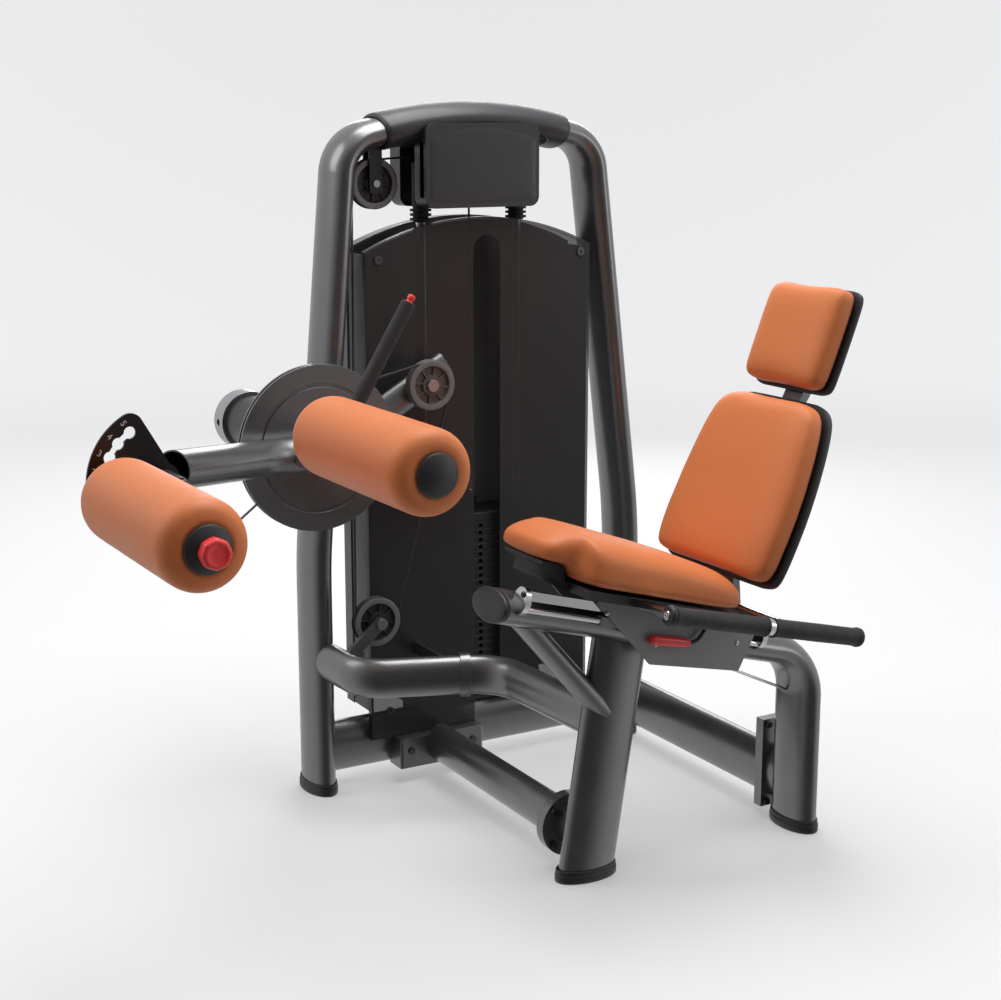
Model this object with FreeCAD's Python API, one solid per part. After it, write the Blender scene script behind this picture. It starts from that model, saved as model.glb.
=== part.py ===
"""Seated leg curl and leg extension machine with a selectorised weight stack.

Frame: millimetres, +Z up. The origin is on the floor under the middle of the weight tower. The tower stands
in the plane y = 0 and +X runs along it towards the backrest. The seat is on the -Y side and its user faces -X.
"""

import FreeCAD, Part
import math
import os

V = FreeCAD.Vector
X = V(1, 0, 0)
Y = V(0, 1, 0)
Z = V(0, 0, 1)
NODES = {}

# ---------------------------------------------------------------- driving dimensions
WALL = 3.0                # wall of every oval tube
OVAL_WIDE = 63.0          # half of the frame tube's long side
OVAL_THIN = 32.0          # half of its short side
FLOOR_GAP = 12.0          # tube ends stand this high, inside their foot caps

TOWER_X = 408.0           # upright to middle of the tower
TOP_X = -15.0             # middle of the top arch
LEAN_START_Z = 545.0      # the uprights lean inwards above this
LEAN_END = (317.0, 1400.0)  # reach from the arch's middle, and height, where the leaning run ends
ARCH_END = (235.0, 1462.0)  # the same where the arch begins
ARCH_TOP_Z = 1490.0
COVER_GAP = 9.0           # the moulded cover stands this far out from the top tube
COVER_REACH = 228.0
BASE_TUBE_Z = 95.0
BASE_TUBE_TALL = 60.0

STACK_X = 0.0             # middle of the weight stack
STACK_Y = 20.0
STACK_WIDTH = 330.0
STACK_DEPTH = 100.0
PLATE_COUNT = 24
PLATE_PITCH = 17.0
PLATE_EDGE = 1.4          # bevel round the top and bottom of every weight plate
STACK_GAP = 0.4           # between the standing plates and the lifted ones
PLATES_BOTTOM_Z = 173.0
FIXED_COUNT = 2           # plates left standing below the selector pin
GUIDE_REACH = 122.0       # guide rod to middle of the stack
GUIDE_RADIUS = 12.5
GUIDE_TOP_Z = 1450.0
SLEEVE_TOP_Z = 1398.0
FLAT_Y = 20.0             # above the sleeves each guide rod is milled away in front of this, under the cable

PIVOT_X = -455.5          # main pivot of the swing arm, an axle along Y
PIVOT_Z = 817.4
AXLE_RADIUS = 20.0
RUNNING = 0.06            # radial clearance of every running fit
HUB_RADIUS = 46.0
DRUM_RADIUS = 100.0       # cable centre line on the drum
DISC_RADIUS = 177.0
ARM_RADIUS = 38.0
SECTOR_RADIUS = 113.0
SECTOR_FIRST = 182.5      # direction of hole 1 seen from the seat side, degrees
SECTOR_STEP = -15.0
SECTOR_HOLES = 5

CABLE_RADIUS = 2.5
PULLEY_RADIUS = 55.0
PULLEY_HALF = 10.0
WRAP_RADIUS = 50.0        # cable centre line on a pulley

ROLLER_SPINDLE = 14.0
SEAT_Y = -705.0           # middle of the seat
RAIL_SLOPE = math.radians(15.3)
RAIL_NOSE = (-352.0, 596.4)
LEG_X = 396.0
BACK_TILT = math.radians(24.7)
HEAD_TILT = math.radians(21.6)
BACK_BASE = (125.7, 620.0)
HEAD_BASE = (298.0, 976.0)
ROLLER_RADIUS = 79.0


# ---------------------------------------------------------------- helpers
def keep(name, *solids):
    """Registers the solids of one sub-part."""
    NODES[name] = list(solids)
    return solids[0]


def cylinder(base, axis, length, radius):
    return Part.makeCylinder(radius, length, base, axis)


def ring(base, axis, length, outer, inner):
    return cylinder(base, axis, length, outer).cut(cylinder(base - axis, axis, length + 2, inner))


def rod(start, end, radius):
    span = end - start
    return Part.makeCylinder(radius, span.Length, start, span)


def block(x, y, z):
    """A box from its (low, high) pairs."""
    return Part.makeBox(x[1] - x[0], y[1] - y[0], z[1] - z[0], V(x[0], y[0], z[0]))


def slab(points, y_low, y_high):
    """A prism along Y over an outline given as (x, z) points."""
    corners = [V(x, y_low, z) for x, z in points]
    face = Part.Face(Part.makePolygon(corners + corners[:1]))
    return face.extrude(V(0, y_high - y_low, 0))


def round_edges(solid, radius, direction):
    """Rounds the straight edges that run along one direction."""
    edges = []
    for edge in solid.Edges:
        if edge.Curve.TypeId == "Part::GeomLine":
            along = (edge.Vertexes[1].Point - edge.Vertexes[0].Point).normalize()
            if abs(along.dot(direction)) > 0.999:
                edges.append(edge)
    return solid.makeFillet(radius, edges)


def round_rims(solid, radius, rim_radius, places):
    """Rounds the circular rims of one radius whose centres lie at the given y values."""
    edges = []
    for edge in solid.Edges:
        if edge.Curve.TypeId != "Part::GeomCircle" or abs(edge.Curve.Radius - rim_radius) > 0.01:
            continue
        if any(abs(edge.Curve.Center.y - place) < 0.01 for place in places):
            edges.append(edge)
    return solid.makeFillet(radius, edges)


def oval(centre, side, up, half_side, half_up):
    """An elliptical wire in the plane of side and up."""
    if abs(half_side - half_up) < 1e-6:
        return Part.Wire(Part.Circle(centre, side.cross(up), half_side).toShape())
    tips = [(half_side, centre + side * half_side), (half_up, centre + up * half_up)]
    tips.sort(key=lambda tip: -tip[0])
    return Part.Wire(Part.Ellipse(tips[0][1], tips[1][1], centre).toShape())


def oval_plate(centre, axis, up, half_side, half_up, thick):
    """An elliptical plate that grows from its centre along the axis."""
    face = Part.Face(oval(centre, up.cross(axis), up, half_side, half_up))
    return face.extrude(axis * thick)


def route(points, radii):
    """A wire of straight runs joined by tangent arcs, with one radius for each inner point."""
    edges = []
    start = points[0]
    for before, corner, after, radius in zip(points, points[1:], points[2:], radii):
        into = (corner - before).normalize()
        out = (after - corner).normalize()
        turn = into.getAngle(out)
        reach = radius * math.tan(turn / 2)
        arc_in = corner - into * reach
        arc_out = corner + out * reach
        inward = (out - into).normalize()
        middle = corner + inward * (radius / math.cos(turn / 2) - radius)
        if (arc_in - start).Length > 1e-4:
            edges.append(Part.LineSegment(start, arc_in).toShape())
        edges.append(Part.Arc(arc_in, middle, arc_out).toShape())
        start = arc_out
    if (points[-1] - start).Length > 1e-4:
        edges.append(Part.LineSegment(start, points[-1]).toShape())
    return Part.Wire(edges)


def sweep(path, section, binormal=None):
    maker = Part.BRepOffsetAPI.MakePipeShell(path)
    if binormal is None:
        maker.setFrenetMode(False)
    else:
        maker.setBiNormalMode(binormal)
    maker.add(section)
    maker.build()
    maker.makeSolid()
    return maker.shape()


def oval_tube(points, radii, binormal, along, across, wall=WALL):
    """A bent oval tube and the same tube filled. along is its half size in the binormal's direction."""
    path = route(points, radii)
    side = binormal.cross((points[1] - points[0]).normalize())
    filled = sweep(path, oval(points[0], side, binormal, across, along), binormal)
    hollow = sweep(path, oval(points[0], side, binormal, across - wall, along - wall), binormal)
    return filled.cut(hollow), filled


def on_rail(s, h, y=SEAT_Y):
    """A point s along the seat rail's slope from its nose and h square to it."""
    x = RAIL_NOSE[0] + s * math.cos(RAIL_SLOPE) + h * math.sin(RAIL_SLOPE)
    z = RAIL_NOSE[1] - s * math.sin(RAIL_SLOPE) + h * math.cos(RAIL_SLOPE)
    return V(x, y, z)


def rail_slab(outline, y_low, y_high):
    """A prism along Y over an outline of (s, h) points."""
    points = [on_rail(s, h) for s, h in outline]
    return slab([(point.x, point.z) for point in points], y_low, y_high)


def on_back(base, tilt, t, d):
    """The (x, z) of a point t up a backrest's slope and d behind its front face."""
    x = base[0] + t * math.sin(tilt) + d * math.cos(tilt)
    z = base[1] + t * math.cos(tilt) - d * math.sin(tilt)
    return x, z


# ---------------------------------------------------------------- tower frame
def upright(side):
    """One tower upright, from its foot to the start of the top arch, as (tube, filled tube)."""
    lean_x, lean_z = LEAN_END
    arch_x, arch_z = ARCH_END
    lean_x += side * TOP_X
    arch_x += side * TOP_X
    arch_radius, arch_angle = arch_shape()
    lean = (TOWER_X - lean_x) / (lean_z - LEAN_START_Z)
    # the corner where the leaning run meets the line that touches the arch at its end
    slope = math.tan(arch_angle)
    corner_z = (arch_z - slope * (TOWER_X + lean * LEAN_START_Z - arch_x)) / (1 - slope * lean)
    corner_x = TOWER_X - lean * (corner_z - LEAN_START_Z)
    points = [
        V(side * TOWER_X, 0, FLOOR_GAP),
        V(side * TOWER_X, 0, LEAN_START_Z),
        V(side * corner_x, 0, corner_z),
        V(side * arch_x, 0, arch_z),
    ]
    return oval_tube(points, [1500.0, 88.0], Y * side, OVAL_WIDE, OVAL_THIN)


def arch_shape():
    """The radius of the top arch and the angle of its ends."""
    rise = ARCH_TOP_Z - ARCH_END[1]
    radius = (ARCH_END[0] ** 2 + rise ** 2) / (2 * rise)
    return radius, math.asin(ARCH_END[0] / radius)


def arch(extra, reach):
    """A filled sweep along the top arch, extra larger than the frame tube, out to reach on both sides."""
    radius, _ = arch_shape()
    centre_z = ARCH_TOP_Z - radius
    angle = math.asin(reach / radius)
    ends = [V(TOP_X + side * reach, 0, centre_z + radius * math.cos(angle)) for side in (-1, 1)]
    path = Part.Wire(Part.Arc(ends[0], V(TOP_X, 0, ARCH_TOP_Z), ends[1]).toShape())
    tangent = V(math.cos(angle), 0, math.sin(angle))
    section = oval(ends[0], Y.cross(tangent), Y, OVAL_THIN + extra, OVAL_WIDE + extra)
    return sweep(path, section, Y)


def tower():
    left, left_filled = upright(-1)
    right, right_filled = upright(1)
    keep("left_upright", left)
    keep("right_upright", right)
    keep("top_tube", arch(0, ARCH_END[0]).cut(arch(-WALL, ARCH_END[0])))
    ends = [V(-TOWER_X + 8, 0, BASE_TUBE_Z), V(TOWER_X - 8, 0, BASE_TUBE_Z)]
    base, base_filled = oval_tube(ends, [], Z, BASE_TUBE_TALL, OVAL_THIN)
    keep("base_tube", base.cut(left_filled).cut(right_filled))
    return left_filled, right_filled, base_filled


# ---------------------------------------------------------------- seat frame
CROSS_X = -134.0
CROSS_Z = 85.0
CROSS_FLANGE_Y = -624.0
BRACKET_Y = -76.0
REAR_FLANGE_Y = -612.0
REAR_X = 406.0
FLANGE_THICK = 12.0
BOLT_RADIUS = 5.0
NUT_RADIUS = 8.0
GUARD_PATH = [V(-402, -30, 314), V(-392, -205, 314), V(-112, -312, 314), V(-90, -700, 314)]
GUARD_BENDS = [80.0, 110.0]


def seat_frame(left_filled, right_filled, base_filled):
    bend_z = on_rail((LEG_X - RAIL_NOSE[0]) / math.cos(RAIL_SLOPE), 0).z
    points = [V(LEG_X, SEAT_Y, FLOOR_GAP), V(LEG_X, SEAT_Y, bend_z), on_rail(0, 0)]
    rail, rail_filled = oval_tube(points, [119.0], Y, OVAL_WIDE, 33.0)
    leg_points = [V(-138, SEAT_Y, FLOOR_GAP), V(-61, SEAT_Y, 510)]
    leg, leg_filled = oval_tube(leg_points, [], Y, OVAL_THIN, OVAL_WIDE)
    leg = leg.cut(rail_filled)

    rear_ends = [V(REAR_X, -22, BASE_TUBE_Z), V(REAR_X, REAR_FLANGE_Y + FLANGE_THICK, BASE_TUBE_Z)]
    rear, _ = oval_tube(rear_ends, [], Z, BASE_TUBE_TALL, 28.0)
    rear = rear.cut(right_filled).cut(base_filled)
    rear_stub_ends = [V(REAR_X, REAR_FLANGE_Y - FLANGE_THICK, BASE_TUBE_Z), V(REAR_X, -668, BASE_TUBE_Z)]
    rear_stub, _ = oval_tube(rear_stub_ends, [], Z, BASE_TUBE_TALL, 28.0)
    rear_flange = block((REAR_X - 36, REAR_X + 36), (REAR_FLANGE_Y, REAR_FLANGE_Y + FLANGE_THICK), (16, 216))
    leg_flange = rear_flange.translated(V(0, -FLANGE_THICK, 0))

    cross_ends = [V(CROSS_X, BRACKET_Y, CROSS_Z), V(CROSS_X, CROSS_FLANGE_Y + FLANGE_THICK, CROSS_Z)]
    cross, _ = oval_tube(cross_ends, [], Z, 45.0, 31.0)
    stub_ends = [V(CROSS_X, CROSS_FLANGE_Y - FLANGE_THICK, CROSS_Z), V(CROSS_X, -700, CROSS_Z)]
    stub, _ = oval_tube(stub_ends, [], Z, 45.0, 31.0)
    flange_foot = V(CROSS_X, CROSS_FLANGE_Y, CROSS_Z)
    cross_flange = oval_plate(flange_foot, Y, Z, 64.0, 66.0, FLANGE_THICK)
    stub_flange = oval_plate(flange_foot, -Y, Z, 64.0, 66.0, FLANGE_THICK)

    bolts = []
    for dx in (-38, 38):
        for dz in (-36, 36):
            bolts.append(flange_bolt(V(CROSS_X + dx, CROSS_FLANGE_Y, CROSS_Z + dz)))
    for dx in (-23, 23):
        for bolt_z in (27, 205):
            bolts.append(flange_bolt(V(REAR_X + dx, REAR_FLANGE_Y, bolt_z)))
    holes = Part.makeCompound(bolt_holes(bolts))

    front_leg = leg.fuse(stub.cut(leg_filled)).fuse(stub_flange).cut(holes)
    cross_tube = cross.fuse(cross_flange).cut(holes)
    rear_tube = rear.fuse(rear_flange).cut(holes)
    seat_rail = rail.fuse(rear_stub.cut(rail_filled)).fuse(leg_flange).cut(holes)

    brace_ends = [on_rail(50, -8), V(-106, SEAT_Y, 346)]
    brace, _ = oval_tube(brace_ends, [], Y, 32.0, 22.0)
    guard, guard_filled = oval_tube(GUARD_PATH, GUARD_BENDS, Z, 44.0, 28.0)
    guard = guard.cut(left_filled).cut(leg_filled)
    brace = brace.cut(rail_filled).cut(leg_filled).cut(guard_filled)

    keep("front_leg", front_leg)
    keep("cross_tube", cross_tube)
    keep("rear_base_tube", rear_tube)
    keep("seat_rail", seat_rail)
    keep("rail_brace", brace)
    keep("guard_tube", guard)

    bracket = block((-235, -20), (BRACKET_Y, -14), (36, 107)).cut(base_filled)
    bracket = round_edges(bracket, 6.0, Z)
    screws = [cylinder(V(x, BRACKET_Y, 76), -Y, 4, 8) for x in (-208, -47)]
    keep("base_bracket", bracket)
    keep("frame_bolts", *bolts, *screws, *shroud_screws())

    caps = [end_cap(V(-TOWER_X, 0, 0), OVAL_THIN, OVAL_WIDE), end_cap(V(TOWER_X, 0, 0), OVAL_THIN, OVAL_WIDE)]
    caps.append(end_cap(V(LEG_X, SEAT_Y, 0), 33.0, OVAL_WIDE))
    caps.append(end_cap(V(-138, SEAT_Y, 0), OVAL_WIDE + 2, OVAL_THIN))
    caps = [caps[0].cut(left_filled), caps[1].cut(right_filled), caps[2].cut(rail_filled), caps[3].cut(leg_filled)]
    nose = on_rail(0, 0)
    out = (on_rail(-1, 0) - nose).normalize()
    plug = oval_plate(nose, out, Y, 33.0, OVAL_WIDE, 12.0)
    caps.append(plug)
    keep("end_caps", *caps)

    stay = rod(V(370, SEAT_Y, 307), V(66, SEAT_Y, 450), 3.0).cut(rail_filled)
    keep("slide_rail", *slide_rail(rail_filled), stay)
    return guard_filled


def flange_bolt(centre):
    """A hexagon bolt and nut through a flange pair that meets at the centre's y."""
    head = hexagon(centre + Y * FLANGE_THICK, Y, 6.0, NUT_RADIUS)
    nut = hexagon(centre - Y * FLANGE_THICK, -Y, 8.0, NUT_RADIUS)
    shank = cylinder(centre - Y * FLANGE_THICK, Y, 2 * FLANGE_THICK, BOLT_RADIUS)
    return head.fuse(shank).fuse(nut)


def bolt_holes(bolts):
    holes = []
    for bolt in bolts:
        middle = bolt.BoundBox.Center
        holes.append(cylinder(V(middle.x, middle.y - 30, middle.z), Y, 60, BOLT_RADIUS + 0.1))
    return holes


def hexagon(centre, axis, thick, radius):
    corners = []
    for step in range(7):
        angle = math.radians(60 * step)
        corners.append(centre + X * (radius * math.cos(angle)) + Z * (radius * math.sin(angle)))
    return Part.Face(Part.makePolygon(corners)).extrude(axis * thick)


def end_cap(centre, half_x, half_y):
    """A foot cap: the tube end stands in it."""
    return oval_plate(centre, Z, Y, half_x + 5, half_y + 5, 27.0)


def guard_strap(guard_filled):
    """The band round the guard tube and its stay back to the shroud."""
    run = (GUARD_PATH[2] - GUARD_PATH[1]).normalize()
    middle = GUARD_PATH[1] + run * 223
    side = Z.cross(run)
    band = Part.Face(oval(middle - run * 11, side, Z, 33.0, 49.0)).extrude(run * 22)
    stay = block((middle.x - 3, middle.x + 3), (middle.y, -52), (300, 328))
    return band.fuse(stay).cut(guard_filled)


def slide_rail(rail_filled):
    """The square bar and round rod that guide the seat carriage, and the two brackets that hold them."""
    bar = rail_slab([(26, 30), (594, 30), (594, 48), (26, 48)], -782, -771)
    guide = rod(on_rail(26, 12, -776.5), on_rail(594, 12, -776.5), 6.5)
    brackets = []
    for s in (14, 594):
        along = (on_rail(1, 0) - on_rail(0, 0)).normalize()
        plate = oval_plate(on_rail(s, 26, -768), along, Y, 27.0, 23.0, 12.0)
        brackets.append(plate.cut(rail_filled))
    return [bar, guide] + brackets


# ---------------------------------------------------------------- shroud and top covers
SHROUD_X = -8.0
SHROUD_HALF = 287.0
SHROUD_CORNER_Z = 1212.0
SHROUD_TOP_Z = 1280.0
SHROUD_LEFT_Z = 108.0     # the front reaches lower on the left of its slot
SHROUD_RIGHT_Z = 150.0
REAR_BOTTOM_Z = 172.0
SHROUD_SKIN = 4.0
SLOT_X = 6.0
SLOT_HALF = 34.0
SLOT_TOP_Z = 1240.0


def shroud_sheet(y_low, y_high, bottom, inset=0.0):
    """A flat sheet with the shroud's arched outline."""
    left = SHROUD_X - SHROUD_HALF + inset
    right = SHROUD_X + SHROUD_HALF - inset
    corner_z = SHROUD_CORNER_Z - inset
    points = [V(left, y_low, corner_z), V(left, y_low, bottom), V(right, y_low, bottom), V(right, y_low, corner_z)]
    edges = [Part.LineSegment(points[i], points[i + 1]).toShape() for i in range(3)]
    edges.append(Part.Arc(points[3], V(SHROUD_X, y_low, SHROUD_TOP_Z - inset), points[0]).toShape())
    return Part.Face(Part.Wire(edges)).extrude(V(0, y_high - y_low, 0))


def shroud():
    front = shroud_sheet(-50, -34, SHROUD_LEFT_Z).cut(shroud_sheet(-46, -20, 0, SHROUD_SKIN))
    front = front.cut(block((SLOT_X, SHROUD_HALF + 20), (-60, 0), (0, SHROUD_RIGHT_Z)))
    slot = block((SLOT_X - SLOT_HALF, SLOT_X + SLOT_HALF), (-60, 0), (0, SLOT_TOP_Z - SLOT_HALF))
    slot_end = cylinder(V(SLOT_X, -60, SLOT_TOP_Z - SLOT_HALF), Y, 60, SLOT_HALF)
    front = front.cut(slot).cut(slot_end)
    keep("shroud_front", front)
    sides = []
    for side in (-1, 1):
        edge = SHROUD_X + side * (SHROUD_HALF - SHROUD_SKIN)
        top_z = SHROUD_CORNER_Z - 7
        sheet = block(sorted((edge - side * 3, edge)), (-45.5, 44), (REAR_BOTTOM_Z, top_z))
        flange = block(sorted((edge - side * 24, edge - side * 3)), (41, 44), (REAR_BOTTOM_Z, top_z))
        sides.append(sheet.fuse(flange))
    keep("side_panels", *sides)
    rear = shroud_sheet(44.5, 80, REAR_BOTTOM_Z).cut(shroud_sheet(40, 76, 0, SHROUD_SKIN))
    keep("rear_panel", rear)


def shroud_screws():
    screws = []
    for x, z in ((-249, 172), (239, 172), (-263, 1194), (253, 1194)):
        head = cylinder(V(x, -50, z), -Y, 3.5, 9.5)
        screws.append(head.cut(hexagon(V(x, -51, z), -Y, 4, 3.2)))
    return screws


HOUSING_X = (-160.0, 124.0)
HOUSING_LOW_Z = 1302.0


def top_covers():
    cover = arch(COVER_GAP, COVER_REACH).cut(arch(0.0, 300.0))
    cover = cover.cut(block((-260, 260), (-80, 80), (1300, 1436)))
    keep("top_cover", cover)
    shells = []
    for y_face, y_open, top_z in ((-80.0, -28.0, 1483.0), (92.0, 44.0, 1446.0)):
        low, high = min(y_face, y_open), max(y_face, y_open)
        shell = round_edges(block(HOUSING_X, (low, high), (HOUSING_LOW_Z, top_z)), 22.0, Y)
        hollow_y = (low + 4, high + 10) if y_face < 0 else (low - 10, high - 4)
        hollow_x = (HOUSING_X[0] + 4, HOUSING_X[1] - 4)
        inner = round_edges(block(hollow_x, hollow_y, (HOUSING_LOW_Z + 4, top_z - 4)), 18.0, Y)
        shells.append(shell.cut(inner).cut(arch(COVER_GAP, 300.0)))
    keep("pulley_housings", *shells)
    return cover


# ---------------------------------------------------------------- weight stack
def guide_places():
    return [V(STACK_X - GUIDE_REACH, STACK_Y, 0), V(STACK_X + GUIDE_REACH, STACK_Y, 0)]


def weight_plate(z_low, thick):
    half_x = STACK_WIDTH / 2
    half_y = STACK_DEPTH / 2
    plate = block((STACK_X - half_x, STACK_X + half_x), (STACK_Y - half_y, STACK_Y + half_y), (z_low, z_low + thick))
    plate = round_edges(plate, 12.0, Z)
    rims = [edge for edge in plate.Edges if edge.BoundBox.ZLength < 0.01]
    plate = plate.makeChamfer(PLATE_EDGE, rims)
    for place in guide_places():
        plate = plate.cut(cylinder(place + Z * (z_low - 1), Z, thick + 2, GUIDE_RADIUS + 1.0))
    return plate


def plate_z(index):
    """The underside of a plate, counted from the bottom one."""
    lifted = index >= FIXED_COUNT
    return PLATES_BOTTOM_Z + index * PLATE_PITCH + (STACK_GAP if lifted else 0.0)


def stack_plate(index):
    """One selectable plate, with its stem hole and its pin hole."""
    z_low = plate_z(index)
    plate = weight_plate(z_low, PLATE_PITCH)
    plate = plate.cut(cylinder(V(STACK_X, STACK_Y, z_low - 1), Z, PLATE_PITCH + 2, STEM_RADIUS + 1.2))
    pin_z = z_low + PLATE_PITCH / 2
    return plate.cut(cylinder(V(STACK_X, STACK_Y - 60, pin_z), Y, 76, PIN_RADIUS + 0.5))


STEM_RADIUS = 11.0
PIN_RADIUS = 4.8
BUFFER_RADIUS = 24.0


def weights():
    top_z = plate_z(PLATE_COUNT)
    keep("fixed_plates", *[stack_plate(index) for index in range(FIXED_COUNT)])
    keep("lifted_plates", *[stack_plate(index) for index in range(FIXED_COUNT, PLATE_COUNT)])
    head = weight_plate(top_z, 22.0)
    for place in guide_places():
        head = head.fuse(ring(place + Z * (top_z + 22), Z, 18, 21.0, GUIDE_RADIUS + 1.0))
    head = head.fuse(cylinder(V(STACK_X, STACK_Y, top_z + 22), Z, 36, 15.0))
    stem_z = PLATES_BOTTOM_Z + 3
    stem = cylinder(V(STACK_X, STACK_Y, stem_z), Z, top_z - stem_z, STEM_RADIUS)
    for index in range(PLATE_COUNT):
        pin_z = plate_z(index) + PLATE_PITCH / 2
        stem = stem.cut(cylinder(V(STACK_X, STACK_Y - 20, pin_z), Y, 40, PIN_RADIUS + 0.3))
    keep("head_plate", head.fuse(stem))
    pin_z = plate_z(FIXED_COUNT) + PLATE_PITCH / 2
    pin = cylinder(V(STACK_X, -36, pin_z), Y, 70, PIN_RADIUS)
    knob = cylinder(V(STACK_X, -62, pin_z), Y, 26, 13.0)
    knob = round_rims(knob, 4.0, 13.0, (-62,))
    keep("selector_pin", pin.fuse(knob))

    rods = []
    for place in guide_places():
        rod_x = (place.x - 20, place.x + 20)
        flat = block(rod_x, (0, FLAT_Y), (SLEEVE_TOP_Z + 2, GUIDE_TOP_Z + 20))
        guide = cylinder(place + Z * 163, Z, GUIDE_TOP_Z - 163, GUIDE_RADIUS)
        rods.append(lowest_solid(guide.cut(flat).cut(arch(COVER_GAP, 300.0))))
    keep("guide_rods", *rods)
    base = block((STACK_X - 170, STACK_X + 170), (-32, 70), (155, 163))
    legs = block((STACK_X - 170, STACK_X + 170), (34, 42), (60, 155))
    keep("stack_base", base.fuse(legs))
    sleeves = []
    for place in guide_places():
        sleeve = ring(place + Z * 1302, Z, SLEEVE_TOP_Z - 1302, 19.5, GUIDE_RADIUS)
        buffer = ring(place + Z * 1268, Z, 34, 17.5, GUIDE_RADIUS)
        for level in (1272, 1282, 1292):
            buffer = buffer.fuse(ring(place + Z * level, Z, 5, BUFFER_RADIUS, GUIDE_RADIUS))
        foot = ring(place + Z * 163, Z, PLATES_BOTTOM_Z - 163, BUFFER_RADIUS, GUIDE_RADIUS)
        sleeves.extend([sleeve, buffer, foot])
    keep("rod_sleeves", *sleeves)


# ---------------------------------------------------------------- pulleys and cable
UPPER_PULLEY = V(-178.0, -125.0, 927.0)
LOWER_PULLEY = V(-310.0, -110.0, 409.0)
CORNER_PULLEY = V(-246.0, 5.0, 1355.0)
CENTRE_RADIUS = 40.0      # cable centre line on the pulley over the stack
CENTRE_PULLEY = V(STACK_X - CENTRE_RADIUS, STACK_Y, 1378.0)
DRUM_Y = -125.0


def pulley(centre, wrap):
    """A grooved wheel on a bolt, turned about Y, with eight webs between hub and rim."""
    rim = wrap + PULLEY_RADIUS - WRAP_RADIUS
    groove = wrap - CABLE_RADIUS - 0.15
    profile = [
        (BOLT_BORE, -PULLEY_HALF), (22.0, -PULLEY_HALF), (22.0, -4.0), (groove - 9, -4.0),
        (groove - 6, -PULLEY_HALF), (rim, -PULLEY_HALF), (rim, -8.6), (groove, -3.4),
        (groove, 3.4), (rim, 8.6), (rim, PULLEY_HALF), (groove - 6, PULLEY_HALF),
        (groove - 9, 4.0), (22.0, 4.0), (22.0, PULLEY_HALF), (BOLT_BORE, PULLEY_HALF),
    ]
    corners = [V(centre.x + r, centre.y + y, centre.z) for r, y in profile]
    face = Part.Face(Part.makePolygon(corners + corners[:1]))
    wheel = face.revolve(centre, Y, 360)
    for step in range(8):
        web = block((21.0, groove - 7), (-8.0, 8.0), (-1.6, 1.6))
        web.rotate(V(0, 0, 0), Y, 45 * step + 10)
        wheel = wheel.fuse(web.translated(centre))
    return wheel


BOLT_BORE = 8.06


def tangent_direction(first, first_wrap, second, second_wrap):
    """Angle in the XZ plane of the cable's run between two wheels that both turn it clockwise."""
    dx = second.x - first.x
    dz = second.z - first.z
    distance = math.hypot(dx, dz)
    return math.atan2(dz, dx) - math.asin((first_wrap - second_wrap) / distance)


def wrap_corners(centre, wrap, enter, leave):
    """Route corners that carry a cable clockwise round a wheel, between two run directions in radians."""
    turn = enter - leave
    parts = max(1, math.ceil(turn / math.radians(80)))
    corners = []
    for part in range(parts):
        angle = enter + math.pi / 2 - turn * (part + 0.5) / parts
        reach = wrap / math.cos(turn / parts / 2)
        corners.append(V(centre.x + reach * math.cos(angle), centre.y, centre.z + reach * math.sin(angle)))
    return corners


def cable():
    """The cable from its anchor on the drum, over three pulleys and down towards the stack."""
    drum = V(PIVOT_X, DRUM_Y, PIVOT_Z)
    first = tangent_direction(drum, DRUM_RADIUS, UPPER_PULLEY, WRAP_RADIUS)
    second = tangent_direction(UPPER_PULLEY, WRAP_RADIUS, LOWER_PULLEY, WRAP_RADIUS)
    third = tangent_direction(LOWER_PULLEY, WRAP_RADIUS, CORNER_PULLEY, WRAP_RADIUS)
    fourth = tangent_direction(CORNER_PULLEY, WRAP_RADIUS, CENTRE_PULLEY, CENTRE_RADIUS)
    full = 2 * math.pi
    anchor = math.radians(215)
    points = [drum + V(DRUM_RADIUS * math.cos(anchor), 0, DRUM_RADIUS * math.sin(anchor))]
    radii = []
    groups = [
        (drum, DRUM_RADIUS, anchor - math.pi / 2, first),
        (UPPER_PULLEY, WRAP_RADIUS, first, second),
        (LOWER_PULLEY, WRAP_RADIUS, second, third - full),
        (CORNER_PULLEY, WRAP_RADIUS, third, fourth),
        (CENTRE_PULLEY, CENTRE_RADIUS, fourth, -math.pi / 2),
    ]
    for number, (centre, wrap, enter, leave) in enumerate(groups):
        corners = wrap_corners(centre, wrap, enter, leave)
        points.extend(corners)
        radii.extend([wrap] * len(corners))
        if number + 1 < len(groups):
            after = groups[number + 1][0]
            offset = after.y - centre.y
            if abs(offset) > 1:
                leave_point, meet_point = run_ends(centre, wrap, after, groups[number + 1][1], leave)
                along = (meet_point - leave_point).normalize()
                points.append(leave_point + along * KINK)
                points.append(meet_point - along * KINK + V(0, offset, 0))
                radii.extend([KINK_RADIUS, KINK_RADIUS])
    points.append(V(STACK_X, STACK_Y, DROP_TOP_Z))
    path = route(points, radii)
    start = (points[1] - points[0]).normalize()
    section = Part.Wire(Part.Circle(points[0], start, CABLE_RADIUS).toShape())
    solid = sweep(path, section)
    ideal = math.pi * CABLE_RADIUS ** 2 * path.Length
    print("cable length", round(path.Length, 1), "volume ratio", round(solid.Volume / ideal, 4))
    keep("cable_run", solid)
    top_z = plate_z(PLATE_COUNT) + 58
    keep("cable_drop", cylinder(V(STACK_X, STACK_Y, top_z), Z, DROP_TOP_Z - 0.5 - top_z, CABLE_RADIUS))


KINK = 9.0
KINK_RADIUS = 110.0
DROP_TOP_Z = 1370.0


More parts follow.
